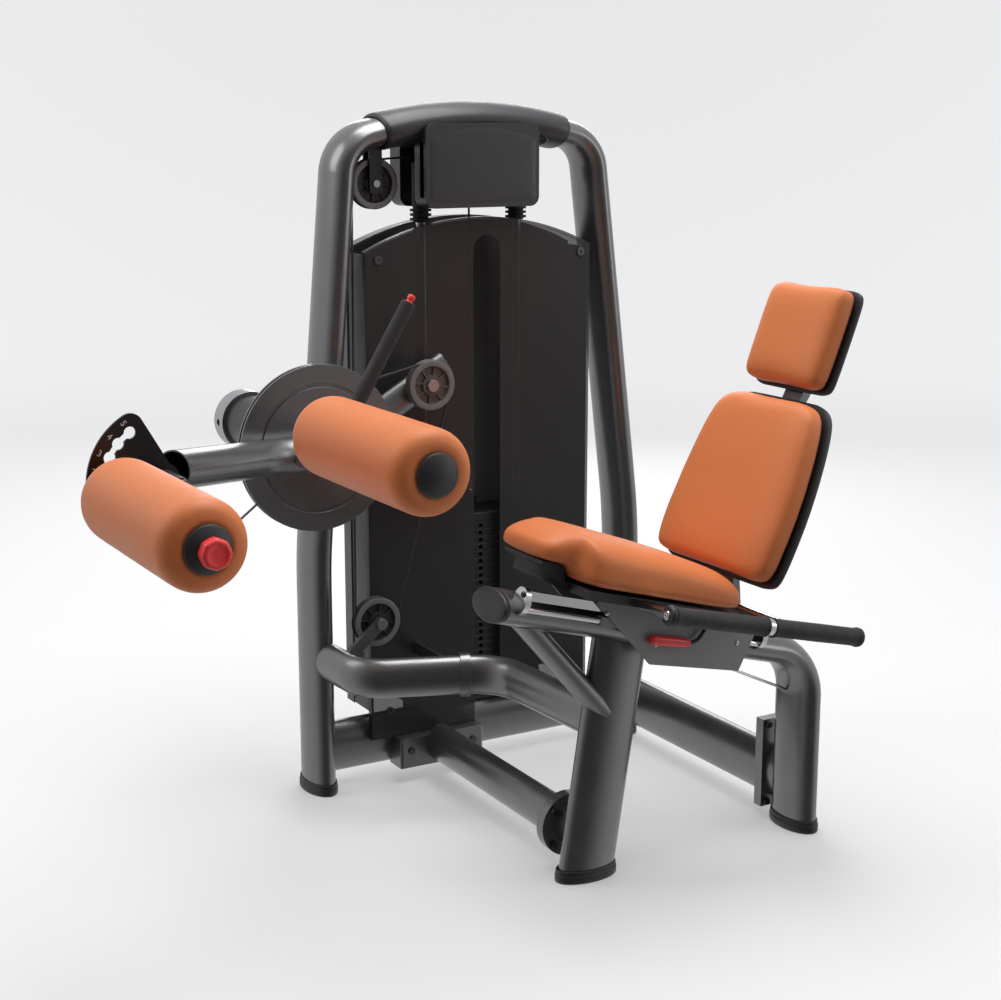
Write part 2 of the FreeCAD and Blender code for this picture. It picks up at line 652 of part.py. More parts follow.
def run_ends(first, first_wrap, second, second_wrap, direction):
    """Where a run leaves one wheel and meets the next, both in the first wheel's plane."""
    normal = V(-math.sin(direction), 0, math.cos(direction))
    leave = first + normal * first_wrap
    meet = V(second.x, first.y, second.z) + normal * second_wrap
    return leave, meet


def pulleys():
    keep("upper_pulley", pulley(UPPER_PULLEY, WRAP_RADIUS))
    keep("lower_pulley", pulley(LOWER_PULLEY, WRAP_RADIUS))
    keep("corner_pulley", pulley(CORNER_PULLEY, WRAP_RADIUS))
    keep("centre_pulley", pulley(CENTRE_PULLEY, CENTRE_RADIUS))


def pulley_mounts(left_filled, guard_filled, cover, housing):
    """The brackets that carry the pulleys, and their bolts."""
    arm_start = V(PIVOT_X + 30, -89, PIVOT_Z + 10)
    slope = (V(-114, -89, 963) - V(-433, -89, 777)).normalize()
    arm_end = V(UPPER_PULLEY.x, -89, UPPER_PULLEY.z) + slope * 62
    arm_start = arm_end - slope * 330
    arm, _ = oval_tube([arm_start, arm_end], [], Y, 18.0, 34.0)
    end_plate = oval_plate(arm_end, slope, Y, 34.0, 18.0, 5.0)
    boss = ring(V(UPPER_PULLEY.x, -114, UPPER_PULLEY.z), Y, 12, 16.0, 6.0)
    upper_bolt = cylinder(V(UPPER_PULLEY.x, -136.5, UPPER_PULLEY.z), Y, 70, 8.0)
    arm = arm.fuse(end_plate).fuse(boss).cut(left_filled).cut(housing).cut(upper_bolt)

    foot = V(-378, 0, 350)
    bar = link(V(LOWER_PULLEY.x, 0, LOWER_PULLEY.z), foot, 13.0, -136.0, -124.0).cut(guard_filled)
    bar = bar.fuse(block((-398, -352), (-136, -124), (338, 352)).cut(guard_filled))
    lower_bolt = cylinder(V(LOWER_PULLEY.x, -140, LOWER_PULLEY.z), Y, 44, 8.0)
    bar = bar.cut(lower_bolt)

    hangers = []
    bolts = [upper_bolt.fuse(cylinder(V(UPPER_PULLEY.x, -142, UPPER_PULLEY.z), Y, 5.5, 13.0))]
    bolts.append(lower_bolt.fuse(cylinder(V(LOWER_PULLEY.x, -144, LOWER_PULLEY.z), Y, 7, 12.0)))
    for centre, half in ((CORNER_PULLEY, 13.0), (CENTRE_PULLEY, 13.0)):
        bolt = cylinder(centre - Y * (half + 8), Y, 2 * half + 16, 8.0)
        for side in (-1, 1):
            y = sorted((centre.y + side * half, centre.y + side * (half + 4)))
            plate = block((centre.x - 15, centre.x + 15), y, (centre.z - 20, 1480))
            hangers.append(plate.cut(arch(0, 300.0)).cut(cover).cut(left_filled).cut(bolt))
        bolts.append(bolt)
    hangers = [lowest_solid(hanger) for hanger in hangers]
    keep("pulley_brackets", arm, bar, guard_strap(guard_filled))
    keep("pulley_hangers", *hangers)
    keep("pulley_bolts", *bolts)


def lowest_solid(shape):
    return min(shape.Solids, key=lambda solid: solid.BoundBox.ZMin)


def link(first, second, half_width, y_low, y_high):
    """A flat bar with round ends between two points of the XZ plane."""
    along = V(second.x - first.x, 0, second.z - first.z)
    unit = V(along.x, along.y, along.z).normalize()
    side = Y.cross(unit)
    a = V(first.x, y_low, first.z)
    b = V(second.x, y_low, second.z)
    corners = [a + side * half_width, b + side * half_width, b - side * half_width, a - side * half_width]
    body = Part.Face(Part.makePolygon(corners + corners[:1])).extrude(V(0, y_high - y_low, 0))
    for end in (a, b):
        body = body.fuse(cylinder(end, Y, y_high - y_low, half_width))
    return body


# ---------------------------------------------------------------- swing arm
PIVOT = V(PIVOT_X, 0, PIVOT_Z)
CARRIER = V(-884.0, 0, 838.0)
ANKLE = V(CARRIER.x + SECTOR_RADIUS * math.cos(math.radians(SECTOR_FIRST)), 0,
          CARRIER.z + SECTOR_RADIUS * math.sin(math.radians(SECTOR_FIRST)))
SLEEVE_RADIUS = 22.0
CARRIER_PIN = 14.0
LOCK_SLEEVE = 10.0
LOCK_STEM = 5.0


def at(place, y):
    return V(place.x, y, place.z)


def main_pivot(left_filled):
    """The bearing housing welded to the upright and the dead axle through it."""
    housing_filled = cylinder(at(PIVOT, -112), Y, 340, 60.5)
    housing = housing_filled.cut(cylinder(at(PIVOT, -113), Y, 342, AXLE_RADIUS))
    housing = housing.cut(ring(at(PIVOT, -100), Y, 316, 52.0, 28.0)).cut(left_filled)
    keep("bearing_housing", housing)
    axle = cylinder(at(PIVOT, -398), Y, 640, AXLE_RADIUS)
    axle = axle.fuse(cylinder(at(PIVOT, -408), Y, 10, 27.0))
    collar = ring(at(PIVOT, 228), Y, 50, 68.4, AXLE_RADIUS - 1)
    collar = collar.cut(cylinder(at(PIVOT, 253) - X * 80, X, 50, 8.0))
    keep("axle_and_collar", axle.fuse(collar))
    return housing_filled


def swing_arm():
    start = V(PIVOT_X, -192, PIVOT_Z)
    elbow = V(-590, -195, 816)
    direction = (V(-835, -377, 850) - elbow).normalize()
    end = V(-835, -377, 850) + direction * 34
    bend_normal = (elbow - start).cross(end - elbow).normalize()
    tube, _ = oval_tube([start, elbow, end], [160.0], bend_normal, ARM_RADIUS, ARM_RADIUS)
    hub_filled = cylinder(at(PIVOT, -236), Y, 120, HUB_RADIUS)
    notch = cylinder(at(CARRIER, -560), Y, 164, 37.0)
    sleeve = cylinder(at(CARRIER, -396), Y, 46, SLEEVE_RADIUS)
    pin = cylinder(at(CARRIER, -508), Y, 158, CARRIER_PIN)
    washer = cylinder(at(CARRIER, -513), Y, 7, 20.0)
    arm = tube.cut(hub_filled).cut(notch).cut(sleeve)
    pieces = sorted(arm.Solids, key=lambda solid: -solid.Volume)
    arm = pieces[0].fuse(hub_filled).fuse(sleeve).fuse(pin).fuse(washer)
    boss = cylinder(V(-529, -236, 812), Y, 30, 16.0)
    arm = arm.fuse(boss.cut(tube_fill(start, elbow, end, bend_normal)))
    arm = arm.cut(cylinder(at(PIVOT, -240), Y, 130, AXLE_RADIUS + RUNNING))
    keep("swing_arm", arm)


def tube_fill(start, elbow, end, bend_normal):
    return oval_tube([start, elbow, end], [160.0], bend_normal, ARM_RADIUS, ARM_RADIUS)[1]


def disc_and_drum():
    disc = ring(at(PIVOT, -154), Y, 18, DISC_RADIUS, HUB_RADIUS)
    disc = disc.cut(ring(at(PIVOT, -156), Y, 6, 138.0, 129.0))
    disc = disc.cut(ring(at(PIVOT, -149), Y, 8, DISC_RADIUS + 2, DISC_RADIUS - 5))
    stop_angle = math.radians(217)
    outward = V(math.cos(stop_angle), 0, math.sin(stop_angle))
    stop = rod(at(PIVOT, -145) + outward * (DISC_RADIUS - 5), at(PIVOT, -145) + outward * 292, 2.6)
    keep("cam_disc", disc, stop)
    groove = DRUM_RADIUS - CABLE_RADIUS - 0.15
    drum = ring(at(PIVOT, -135), Y, 19, groove + 9, HUB_RADIUS)
    drum = drum.cut(ring(at(PIVOT, DRUM_Y - 4), Y, 8, groove + 11, groove))
    keep("cable_drum", drum)


def sector_plate():
    """The fan of numbered holes, joined by a slot, that sets where the ankle roller starts."""
    angles = [math.radians(SECTOR_FIRST + SECTOR_STEP * hole) for hole in range(SECTOR_HOLES)]
    low = angles[0] + math.radians(14)
    high = angles[-1] - math.radians(13)
    rim = SECTOR_RADIUS + 33
    middle = (low + high) / 2

    def polar(radius, angle):
        return V(CARRIER.x + radius * math.cos(angle), -406, CARRIER.z + radius * math.sin(angle))

    arc = Part.Arc(polar(rim, low), polar(rim, middle), polar(rim, high)).toShape()
    edges = [
        Part.LineSegment(polar(26, low + 1.2), polar(rim, low)).toShape(),
        arc,
        Part.LineSegment(polar(rim, high), polar(30, high - 0.9)).toShape(),
        Part.LineSegment(polar(30, high - 0.9), polar(26, low + 1.2)).toShape(),
    ]
    fan = Part.Face(Part.Wire(edges)).extrude(V(0, 6, 0))
    fan = round_edges_y(fan, 24.0, rim)
    fan = fan.fuse(cylinder(at(CARRIER, -406), Y, 6, 33.0))
    fan = fan.cut(cylinder(at(CARRIER, -408), Y, 10, CARRIER_PIN))
    slot = ring(at(CARRIER, -408), Y, 10, SECTOR_RADIUS + 6.0, SECTOR_RADIUS - 6.0)
    wedge_points = [CARRIER, polar(260, angles[0]), polar(300, middle), polar(260, angles[-1])]
    wedge = slab([(point.x, point.z) for point in wedge_points], -410, -396)
    fan = fan.cut(slot.common(wedge))
    for angle in angles:
        centre = polar(SECTOR_RADIUS, angle)
        fan = fan.cut(cylinder(V(centre.x, -408, centre.z), Y, 10, 11.5))
    keep("sector_plate", fan)


def round_edges_y(solid, radius, rim):
    """Rounds the fan's two outer corners."""
    edges = []
    for edge in solid.Edges:
        if edge.Curve.TypeId != "Part::GeomLine":
            continue
        a = edge.Vertexes[0].Point
        b = edge.Vertexes[1].Point
        reach = math.hypot(a.x - CARRIER.x, a.z - CARRIER.z)
        if abs((b - a).normalize().y) > 0.99 and reach > rim - 1:
            edges.append(edge)
    return solid.makeFillet(radius, edges)


ANKLE_NEAR_Y = -931.0     # near end of the ankle roller


def ankle_unit():
    """The carrier that turns on the arm's end, its spindle, the roller and the lock knob."""
    barrel = ring(at(CARRIER, -503), Y, 94, SLEEVE_RADIUS, CARRIER_PIN + RUNNING)
    arm = link(CARRIER, ANKLE, 20.0, -424.0, -410.0)
    carrier = barrel.fuse(arm).cut(cylinder(at(CARRIER, -520), Y, 130, CARRIER_PIN + RUNNING))
    spindle = cylinder(at(ANKLE, ANKLE_NEAR_Y + 3), Y, -422 - ANKLE_NEAR_Y - 3, ROLLER_SPINDLE)
    carrier = carrier.fuse(spindle).cut(cylinder(at(ANKLE, ANKLE_NEAR_Y - 5), Y, 545, LOCK_SLEEVE + 0.1))
    keep("ankle_carrier", carrier)
    keep("ankle_pad", roller_pad(ANKLE, ANKLE_NEAR_Y, -486.0, ROLLER_RADIUS))
    cap = dome(ANKLE, ANKLE_NEAR_Y, 41.0, 15.0).cut(cylinder(at(ANKLE, ANKLE_NEAR_Y - 25), Y, 40, 8.4))
    keep("ankle_cap", cap)
    knob = octagon_knob(ANKLE, ANKLE_NEAR_Y - 44, 25.0, 26.0)
    stem_y = ANKLE_NEAR_Y - 19
    stem = cylinder(at(ANKLE, stem_y), Y, -470 - stem_y, 8.0)
    lock = cylinder(at(ANKLE, -470), Y, 63, LOCK_SLEEVE)
    tip = cylinder(at(ANKLE, -407), Y, 24, LOCK_STEM)
    keep("lock_knob", knob.fuse(stem).fuse(lock).fuse(tip))


def roller_pad(place, y_near, y_far, radius):
    pad = cylinder(at(place, y_near), Y, y_far - y_near, radius)
    pad = round_rims(pad, 28.0, radius, (y_near, y_far))
    return pad.cut(cylinder(at(place, y_near - 1), Y, y_far - y_near + 2, ROLLER_SPINDLE + RUNNING))


def dome(place, y_base, radius, height):
    """A shallow dome that rises towards -Y from y_base."""
    ball = (radius ** 2 + height ** 2) / (2 * height)
    sphere = Part.makeSphere(ball, at(place, y_base + ball - height))
    return sphere.common(cylinder(at(place, y_base), -Y, height + 5, radius + 5))


def octagon_knob(place, y_front, depth, radius):
    corners = []
    for step in range(9):
        angle = math.radians(45 * step + 22.5)
        corners.append(V(place.x + radius * math.cos(angle), y_front, place.z + radius * math.sin(angle)))
    knob = Part.Face(Part.makePolygon(corners)).extrude(V(0, depth, 0))
    return knob.makeChamfer(5.0, [edge for edge in knob.Edges if edge.BoundBox.YLength < 0.01])


# ---------------------------------------------------------------- shin pad
SHIN = V(-577.0, 0, 905.0)
SHIN_NEAR_Y = -908.0      # near end of the shin roller
LEVER_TIP = V(-363.0, -390.0, 1139.0)
LEVER_FOOT = V(-525.0, -390.0, 872.0)


def shin_unit():
    """The shin pad's arm on the dead axle, its roller, and the lever that turns and locks it."""
    arm = link(PIVOT, SHIN, 30.0, -396.0, -384.0)
    arm = arm.fuse(cylinder(at(PIVOT, -396), Y, 34, 32.0))
    spindle = cylinder(at(SHIN, SHIN_NEAR_Y + 3), Y, -384 - SHIN_NEAR_Y - 3, ROLLER_SPINDLE)
    along = (LEVER_TIP - LEVER_FOOT).normalize()
    boss = cylinder(LEVER_FOOT, along, 62, 17.0)
    arm = arm.fuse(spindle).fuse(boss).cut(cylinder(at(PIVOT, -420), Y, 80, AXLE_RADIUS + RUNNING))
    keep("shin_arm", arm)
    keep("shin_pad", roller_pad(SHIN, SHIN_NEAR_Y, -450.0, ROLLER_RADIUS))
    keep("shin_cap", dome(SHIN, SHIN_NEAR_Y, 39.0, 14.0))
    lever_start = LEVER_FOOT + along * 62
    lever = rod(lever_start, LEVER_TIP, 13.0).cut(rod(LEVER_TIP - along * 40, LEVER_TIP + along, 9.6))
    keep("pad_lever", lever)
    keep("lever_button", rod(LEVER_TIP - along * 30, LEVER_TIP + along * 14, 9.5))


# ---------------------------------------------------------------- seat
PLATE_Y = 85.0            # seat middle to the outer face of a carriage plate
SEAT_HALF = 160.0
NOSE_HALF = 98.0
HANDLE_REACH = 245.0
HANDLE_FRONT = V(-114.0, 0, 602.0)
HANDLE_REAR = V(334.0, 0, 494.0)
GRIP_RADIUS = 18.5


def seat_unit():
    plate_outline = [(174, 58), (174, 45), (330, -57), (551, -46), (567, 21), (575, 58)]
    sides = []
    for side in (-1, 1):
        y = sorted((SEAT_Y + side * PLATE_Y, SEAT_Y + side * (PLATE_Y - 6)))
        sides.append(rail_slab(plate_outline, y[0], y[1]))
    bridge = rail_slab([(174, 50), (575, 50), (575, 58), (174, 58)], SEAT_Y - PLATE_Y, SEAT_Y + PLATE_Y)
    carriage = sides[0].fuse(sides[1]).fuse(bridge)
    for s in (196, 506):
        bearing = rail_slab([(s, 3), (s + 40, 3), (s + 40, 21), (s, 21)], SEAT_Y - 80, SEAT_Y - 63.6)
        guide = rod(on_rail(s - 5, 12, SEAT_Y - 71.5), on_rail(s + 45, 12, SEAT_Y - 71.5), 6.5 + RUNNING)
        carriage = carriage.fuse(bearing.cut(guide))
    for s, h in ((318, -12), (332, -16)):
        carriage = carriage.cut(cylinder(on_rail(s, h, SEAT_Y - PLATE_Y - 10), Y, 30, 3.0))
    keep("seat_carriage", carriage)

    board = rail_slab([(112, 58), (468, 58), (468, 76), (112, 76)], SEAT_Y - 138, SEAT_Y + 138)
    web = rail_slab([(112, 58), (150, 58), (150, 76), (99, 76), (87, 107), (40, 107), (40, 100), (66, 92), (84, 76)],
                    SEAT_Y - 70, SEAT_Y + 70)
    keep("seat_base", board.fuse(web))

    wide = rail_slab([(90, 112), (101, 79), (455, 79), (484, 100), (480, 124), (400, 146), (260, 158), (130, 167),
                      (96, 167)], SEAT_Y - SEAT_HALF, SEAT_Y + SEAT_HALF)
    nose = rail_slab([(18, 122), (26, 113), (50, 111), (92, 110), (130, 112), (130, 167), (96, 167), (80, 166),
                      (50, 158), (30, 146), (20, 134)], SEAT_Y - NOSE_HALF, SEAT_Y + NOSE_HALF)
    keep("seat_pad", wide.fuse(nose))

    back_outline = [(3, 177), (60, 187), (150, 187), (250, 177), (330, 159), (355, 142), (370, 108)]
    keep("back_pad", rest(BACK_BASE, BACK_TILT, back_outline, 0.0, 52.0, 0.0))
    head_outline = [(2, 106), (14, 118), (198, 118), (210, 106)]
    keep("head_pad", rest(HEAD_BASE, HEAD_TILT, head_outline, 0.0, 50.0, 0.0))
    back_shell = rest(BACK_BASE, BACK_TILT, back_outline, 52.5, 70.0, 4.0)
    head_shell = rest(HEAD_BASE, HEAD_TILT, head_outline, 50.5, 66.0, 4.0)
    keep("rest_shells", back_shell, head_shell)
    keep("back_post", back_post(back_shell, head_shell))
    handles()
    release_lever()


def rest(base, tilt, outline, d_front, d_rear, grow):
    """A flat backrest layer. The outline is (height, half width) from its bottom to its top."""
    t_low = outline[0][0] - grow
    rows = [(t_low, outline[0][1] + grow)]
    rows.extend([(t, half + grow) for t, half in outline[1:-1]])
    rows.append((outline[-1][0] + grow, outline[-1][1] + grow))
    corners = []
    for side in (-1, 1):
        for t, half in rows[::side * -1]:
            x, z = on_back(base, tilt, t, d_front)
            corners.append(V(x, SEAT_Y + side * half, z))
    x, z = on_back((0, 0), tilt, 0, d_rear - d_front)
    return Part.Face(Part.makePolygon(corners + corners[:1])).extrude(V(x, 0, z))


def back_post(back_shell, head_shell):
    """The bar from the carriage up behind both rests."""
    foot = [on_rail(572, 58), on_rail(540, 58)]
    outline = [
        (foot[0].x, foot[0].z),
        (foot[1].x, foot[1].z),
        on_back(BACK_BASE, BACK_TILT, 12, 70),
        on_back(BACK_BASE, BACK_TILT, 372, 70),
        on_back(HEAD_BASE, HEAD_TILT, 20, 66),
        on_back(HEAD_BASE, HEAD_TILT, 130, 66),
        on_back(HEAD_BASE, HEAD_TILT, 130, 78),
        on_back(HEAD_BASE, HEAD_TILT, 0, 84),
        on_back(BACK_BASE, BACK_TILT, 356, 84),
        on_back(BACK_BASE, BACK_TILT, 12, 84),
    ]
    return slab(outline, SEAT_Y - 28, SEAT_Y + 28).cut(head_shell).cut(back_shell)


def handles():
    """The handle frame, with a bar and two rubber grips on each side of the seat."""
    parts = []
    grips = []
    for side in (-1, 1):
        y = SEAT_Y + side * HANDLE_REACH
        front = at(HANDLE_FRONT, y)
        rear = at(HANDLE_REAR, y)
        along = (rear - front).normalize()
        parts.append(rod(front + along * 2, rear - along * 4, 12.5))
        join = front + along * 232
        parts.append(rod(join - along * 7, join + along * 7, 17.0))
        stub_y = sorted((SEAT_Y + side * 138, y))
        front_sh = ((214, 60), (254, 60), (254, 74), (214, 74))
        parts.append(rail_slab(front_sh, stub_y[0], stub_y[1]))
        first = rod(front, join - along * 7.2, GRIP_RADIUS)
        second = rod(join + along * 7.2, rear, GRIP_RADIUS)
        grips.extend([first, second])
    cross_x, cross_z = 175.0, 564.0 - 31.5
    parts.append(rod(V(cross_x, SEAT_Y - HANDLE_REACH, cross_z), V(cross_x, SEAT_Y + HANDLE_REACH, cross_z), 11.0))
    frame = parts[0]
    for part in parts[1:]:
        frame = frame.fuse(part)
    grips = [grip.cut(frame) for grip in grips]
    keep("handle_frame", frame)
    keep("hand_grips", *grips)


def release_lever():
    """The sprung lever that frees the carriage: a pivot boss, a bent rod and its grip."""
    y = SEAT_Y - PLATE_Y - 10
    points = [V(80, y, 517), V(52, y, 484), V(-52, y, 508)]
    wire = route(points, [22.0])
    start = (points[1] - points[0]).normalize()
    bent = sweep(wire, Part.Wire(Part.Circle(points[0], start, 4.0).toShape()))
    boss = cylinder(V(80, SEAT_Y - PLATE_Y - 16, 517), Y, 15.5, 8.0)
    along = (points[2] - points[1]).normalize()
    grip = rod(points[2] - along * 90, points[2] + along * 4, 9.5)
    keep("release_lever", boss.fuse(bent).fuse(grip))


# ---------------------------------------------------------------- build
def main():
    left_filled, right_filled, base_filled = tower()
    guard_filled = seat_frame(left_filled, right_filled, base_filled)
    shroud()
    cover = top_covers()
    weights()
    housing = main_pivot(left_filled)
    pulleys()
    pulley_mounts(left_filled, guard_filled, cover, housing)
    cable()
    swing_arm()
    disc_and_drum()
    sector_plate()
    ankle_unit()
    shin_unit()
    seat_unit()
    os.makedirs("parts", exist_ok=True)
    for name, solids in NODES.items():
        flat = [solid for shape in solids for solid in shape.Solids]
        bad = [solid for solid in flat if not solid.isValid() or solid.Volume < 1]
        print(name, len(flat), "solids", round(sum(solid.Volume for solid in flat) / 1000, 1), "cm3", "BAD" if bad else "")
        shape = flat[0] if len(flat) == 1 else Part.makeCompound(flat)
        shape.exportStep("parts/" + name + ".step")


main()
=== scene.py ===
"""Looks of the leg extension machine: finishes, upholstery, moulded covers, small hardware, light and camera.

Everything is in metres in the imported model's frame: origin on the floor under the tower, +X towards the
backrest, -Y towards the seat, +Z up.
"""

import math

import bpy
import numpy as np
from mathutils import Matrix, Vector
from mathutils.bvhtree import BVHTree


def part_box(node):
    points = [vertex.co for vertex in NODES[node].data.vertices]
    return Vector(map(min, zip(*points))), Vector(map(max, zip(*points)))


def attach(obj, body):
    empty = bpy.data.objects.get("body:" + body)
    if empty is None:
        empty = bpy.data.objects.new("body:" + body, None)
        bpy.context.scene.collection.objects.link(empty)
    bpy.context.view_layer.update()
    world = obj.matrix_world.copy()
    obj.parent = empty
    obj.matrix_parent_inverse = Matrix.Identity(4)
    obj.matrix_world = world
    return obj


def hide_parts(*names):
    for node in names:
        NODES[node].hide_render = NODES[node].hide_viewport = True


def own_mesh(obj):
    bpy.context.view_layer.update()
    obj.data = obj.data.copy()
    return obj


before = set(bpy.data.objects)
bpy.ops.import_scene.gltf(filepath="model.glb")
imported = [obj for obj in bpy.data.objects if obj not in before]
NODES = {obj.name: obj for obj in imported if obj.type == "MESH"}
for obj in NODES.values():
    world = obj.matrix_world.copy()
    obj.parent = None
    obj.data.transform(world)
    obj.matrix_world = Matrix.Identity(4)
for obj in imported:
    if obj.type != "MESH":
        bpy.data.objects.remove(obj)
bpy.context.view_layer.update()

X = Vector((1, 0, 0))
Y = Vector((0, 1, 0))
Z = Vector((0, 0, 1))

# ---- places, as in the model's own dimensions
PIVOT = Vector((-0.4555, 0, 0.8174))
CARRIER = Vector((-0.884, 0, 0.838))
SECTOR_RADIUS = 0.113
SECTOR_ANGLES = [math.radians(182.5 - 15 * hole) for hole in range(5)]
ANKLE = CARRIER + SECTOR_RADIUS * Vector((math.cos(SECTOR_ANGLES[0]), 0, math.sin(SECTOR_ANGLES[0])))
ANKLE_NEAR_Y = -0.931
ANKLE_FAR_Y = -0.486
SHIN = Vector((-0.577, 0, 0.905))
SHIN_NEAR_Y = -0.908
SHIN_FAR_Y = -0.45
ROLLER_RADIUS = 0.0785
SEAT_Y = -0.705
CARRIAGE_NEAR_Y = SEAT_Y - 0.085
RAIL_NOSE = Vector((-0.352, SEAT_Y, 0.5964))
RAIL_SLOPE = math.radians(15.3)
BACK_BASE = Vector((0.1257, SEAT_Y, 0.62))
BACK_TILT = math.radians(24.7)
HEAD_BASE = Vector((0.298, SEAT_Y, 0.976))
HEAD_TILT = math.radians(21.6)
HANDLE_FRONT = Vector((-0.114, 0, 0.602))
HANDLE_REAR = Vector((0.334, 0, 0.494))
LEVER_TIP = Vector((-0.363, -0.39, 1.139))
LEVER_FOOT = Vector((-0.525, -0.39, 0.872))
HANDLE_REACH = 0.245
TOWER_X = 0.408
LEG_X = 0.396
TOP_X = -0.015
ARCH_TOP_Z = 1.49
ARCH_HALF = 0.235
ARCH_RISE = 0.028
OVAL_WIDE = 0.063
OVAL_THIN = 0.032
CABLE_RADIUS = 0.0025
HOUSING_TOP_Z = 1.4835
HOUSING_CROWN = 0.19
HOUSING_SAG = 0.004
DIAL_FACE_Y = -0.406
GRIP_LENGTH = 0.2245
GRIP_GAP = 0.0075


def on_rail(s, h, y=SEAT_Y):
    """A point s down the seat rail's slope from its nose and h square to it."""
    along = Vector((math.cos(RAIL_SLOPE), 0, -math.sin(RAIL_SLOPE)))
    up = Vector((math.sin(RAIL_SLOPE), 0, math.cos(RAIL_SLOPE)))
    place = RAIL_NOSE + along * s + up * h
    return Vector((place.x, y, place.z))


def on_rest(base, tilt, side, t, d):
    """A point of a backrest: side along Y, t up its slope and d behind its front face."""
    up = Vector((math.sin(tilt), 0, math.cos(tilt)))
    back = Vector((math.cos(tilt), 0, -math.sin(tilt)))
    return base + Y * side + up * t + back * d


def at(place, y):
    return Vector((place.x, y, place.z))


# ---- camera, light and floor
CAMERA_PLACE = Vector((-1.9409, -3.4846, 1.5))
CAMERA_AIM = Vector((0.4884, 0.846, -0.2137))
FOCAL = 63.3


def add_camera():
    data = bpy.data.cameras.new("view")
    data.lens = FOCAL
    data.sensor_width = 36.0
    data.clip_end = 60.0
    camera = bpy.data.objects.new("view", data)
    camera.location = CAMERA_PLACE
    camera.rotation_euler = CAMERA_AIM.to_track_quat("-Z", "Y").to_euler()
    bpy.context.scene.collection.objects.link(camera)
    bpy.context.scene.camera = camera


def add_area(name, place, target, size, watts):
    data = bpy.data.lights.new(name, "AREA")
    data.shape = "RECTANGLE"
    data.size, data.size_y = size
    data.energy = watts
    light = bpy.data.objects.new(name, data)
    light.location = place
    light.rotation_euler = (Vector(target) - Vector(place)).to_track_quat("-Z", "Y").to_euler()
    bpy.context.scene.collection.objects.link(light)


def add_world():
    """A pale studio, dimmer behind the camera, so that metal shows dark bands between its highlights."""
    world = bpy.data.worlds.new("studio")
    bpy.context.scene.world = world
    world.use_nodes = True
    nodes, links = world.node_tree.nodes, world.node_tree.links
    back = nodes["Background"]
    coords = nodes.new("ShaderNodeTexCoord")
    dot = nodes.new("ShaderNodeVectorMath")
    dot.operation = "DOT_PRODUCT"
    dot.inputs[1].default_value = (-0.46, -0.88, -0.1)
    links.new(coords.outputs["Generated"], dot.inputs[0])
    ramp = nodes.new("ShaderNodeValToRGB")
    ramp.color_ramp.elements[0].position = 0.25
    ramp.color_ramp.elements[0].color = (0.86, 0.86, 0.875, 1)
    ramp.color_ramp.elements[1].position = 0.85
    ramp.color_ramp.elements[1].color = (0.1, 0.1, 0.102, 1)
    links.new(dot.outputs["Value"], ramp.inputs["Fac"])
    links.new(ramp.outputs["Color"], back.inputs["Color"])
    back.inputs["Strength"].default_value = 0.72


def add_floor():
    """A pale floor that sweeps up into a backdrop in front of and behind the machine."""
    away = Vector((CAMERA_AIM.x, CAMERA_AIM.y, 0)).normalized()
    side = Vector((away.y, -away.x, 0))
    profile = []
    radius = 3.0
    for step in range(25):
        angle = math.radians(90 * step / 24)
        profile.append((6.0 + radius * math.sin(angle), radius - radius * math.cos(angle)))
    profile.append((9.0, 9.0))
    profile = [(-reach, height) for reach, height in reversed(profile)] + profile
    verts = []
    for reach, height in profile:
        for across in (-30.0, 30.0):
            verts.append(away * reach + side * across + Z * height)
    faces = [(2 * i, 2 * i + 1, 2 * i + 3, 2 * i + 2) for i in range(len(profile) - 1)]
    mesh = bpy.data.meshes.new("floor")
    mesh.from_pydata([tuple(v) for v in verts], [], faces)
    for polygon in mesh.polygons:
        polygon.use_smooth = True
    floor = bpy.data.objects.new("floor", mesh)
    bpy.context.scene.collection.objects.link(floor)
    material = bpy.data.materials.new("floor")
    material.use_nodes = True
    nodes, links = material.node_tree.nodes, material.node_tree.links
    shader = nodes["Principled BSDF"]
    shader.inputs["Base Color"].default_value = (0.56, 0.56, 0.565, 1)
    shader.inputs["Roughness"].default_value = 0.9
    shader.inputs["Specular IOR Level"].default_value = 0.1
    shader.inputs["Emission Color"].default_value = (0.955, 0.955, 0.965, 1)
    coords = nodes.new("ShaderNodeTexCoord")
    distance = nodes.new("ShaderNodeVectorMath")
    distance.operation = "LENGTH"
    reach = nodes.new("ShaderNodeMapRange")
    for socket, value in (("From Min", 1.0), ("From Max", 12.0), ("To Min", 0.31), ("To Max", 0.8)):
        reach.inputs[socket].default_value = value
    links.new(coords.outputs["Object"], distance.inputs[0])
    links.new(distance.outputs["Value"], reach.inputs["Value"])
    links.new(reach.outputs["Result"], shader.inputs["Emission Strength"])
    noise = nodes.new("ShaderNodeTexNoise")
    noise.inputs["Scale"].default_value = 0.6
    bump = nodes.new("ShaderNodeBump")
    bump.inputs["Strength"].default_value = 0.01
    links.new(noise.outputs["Fac"], bump.inputs["Height"])
    links.new(bump.outputs["Normal"], shader.inputs["Normal"])
    mesh.materials.append(material)
    floor.visible_diffuse = False
    floor.visible_glossy = False


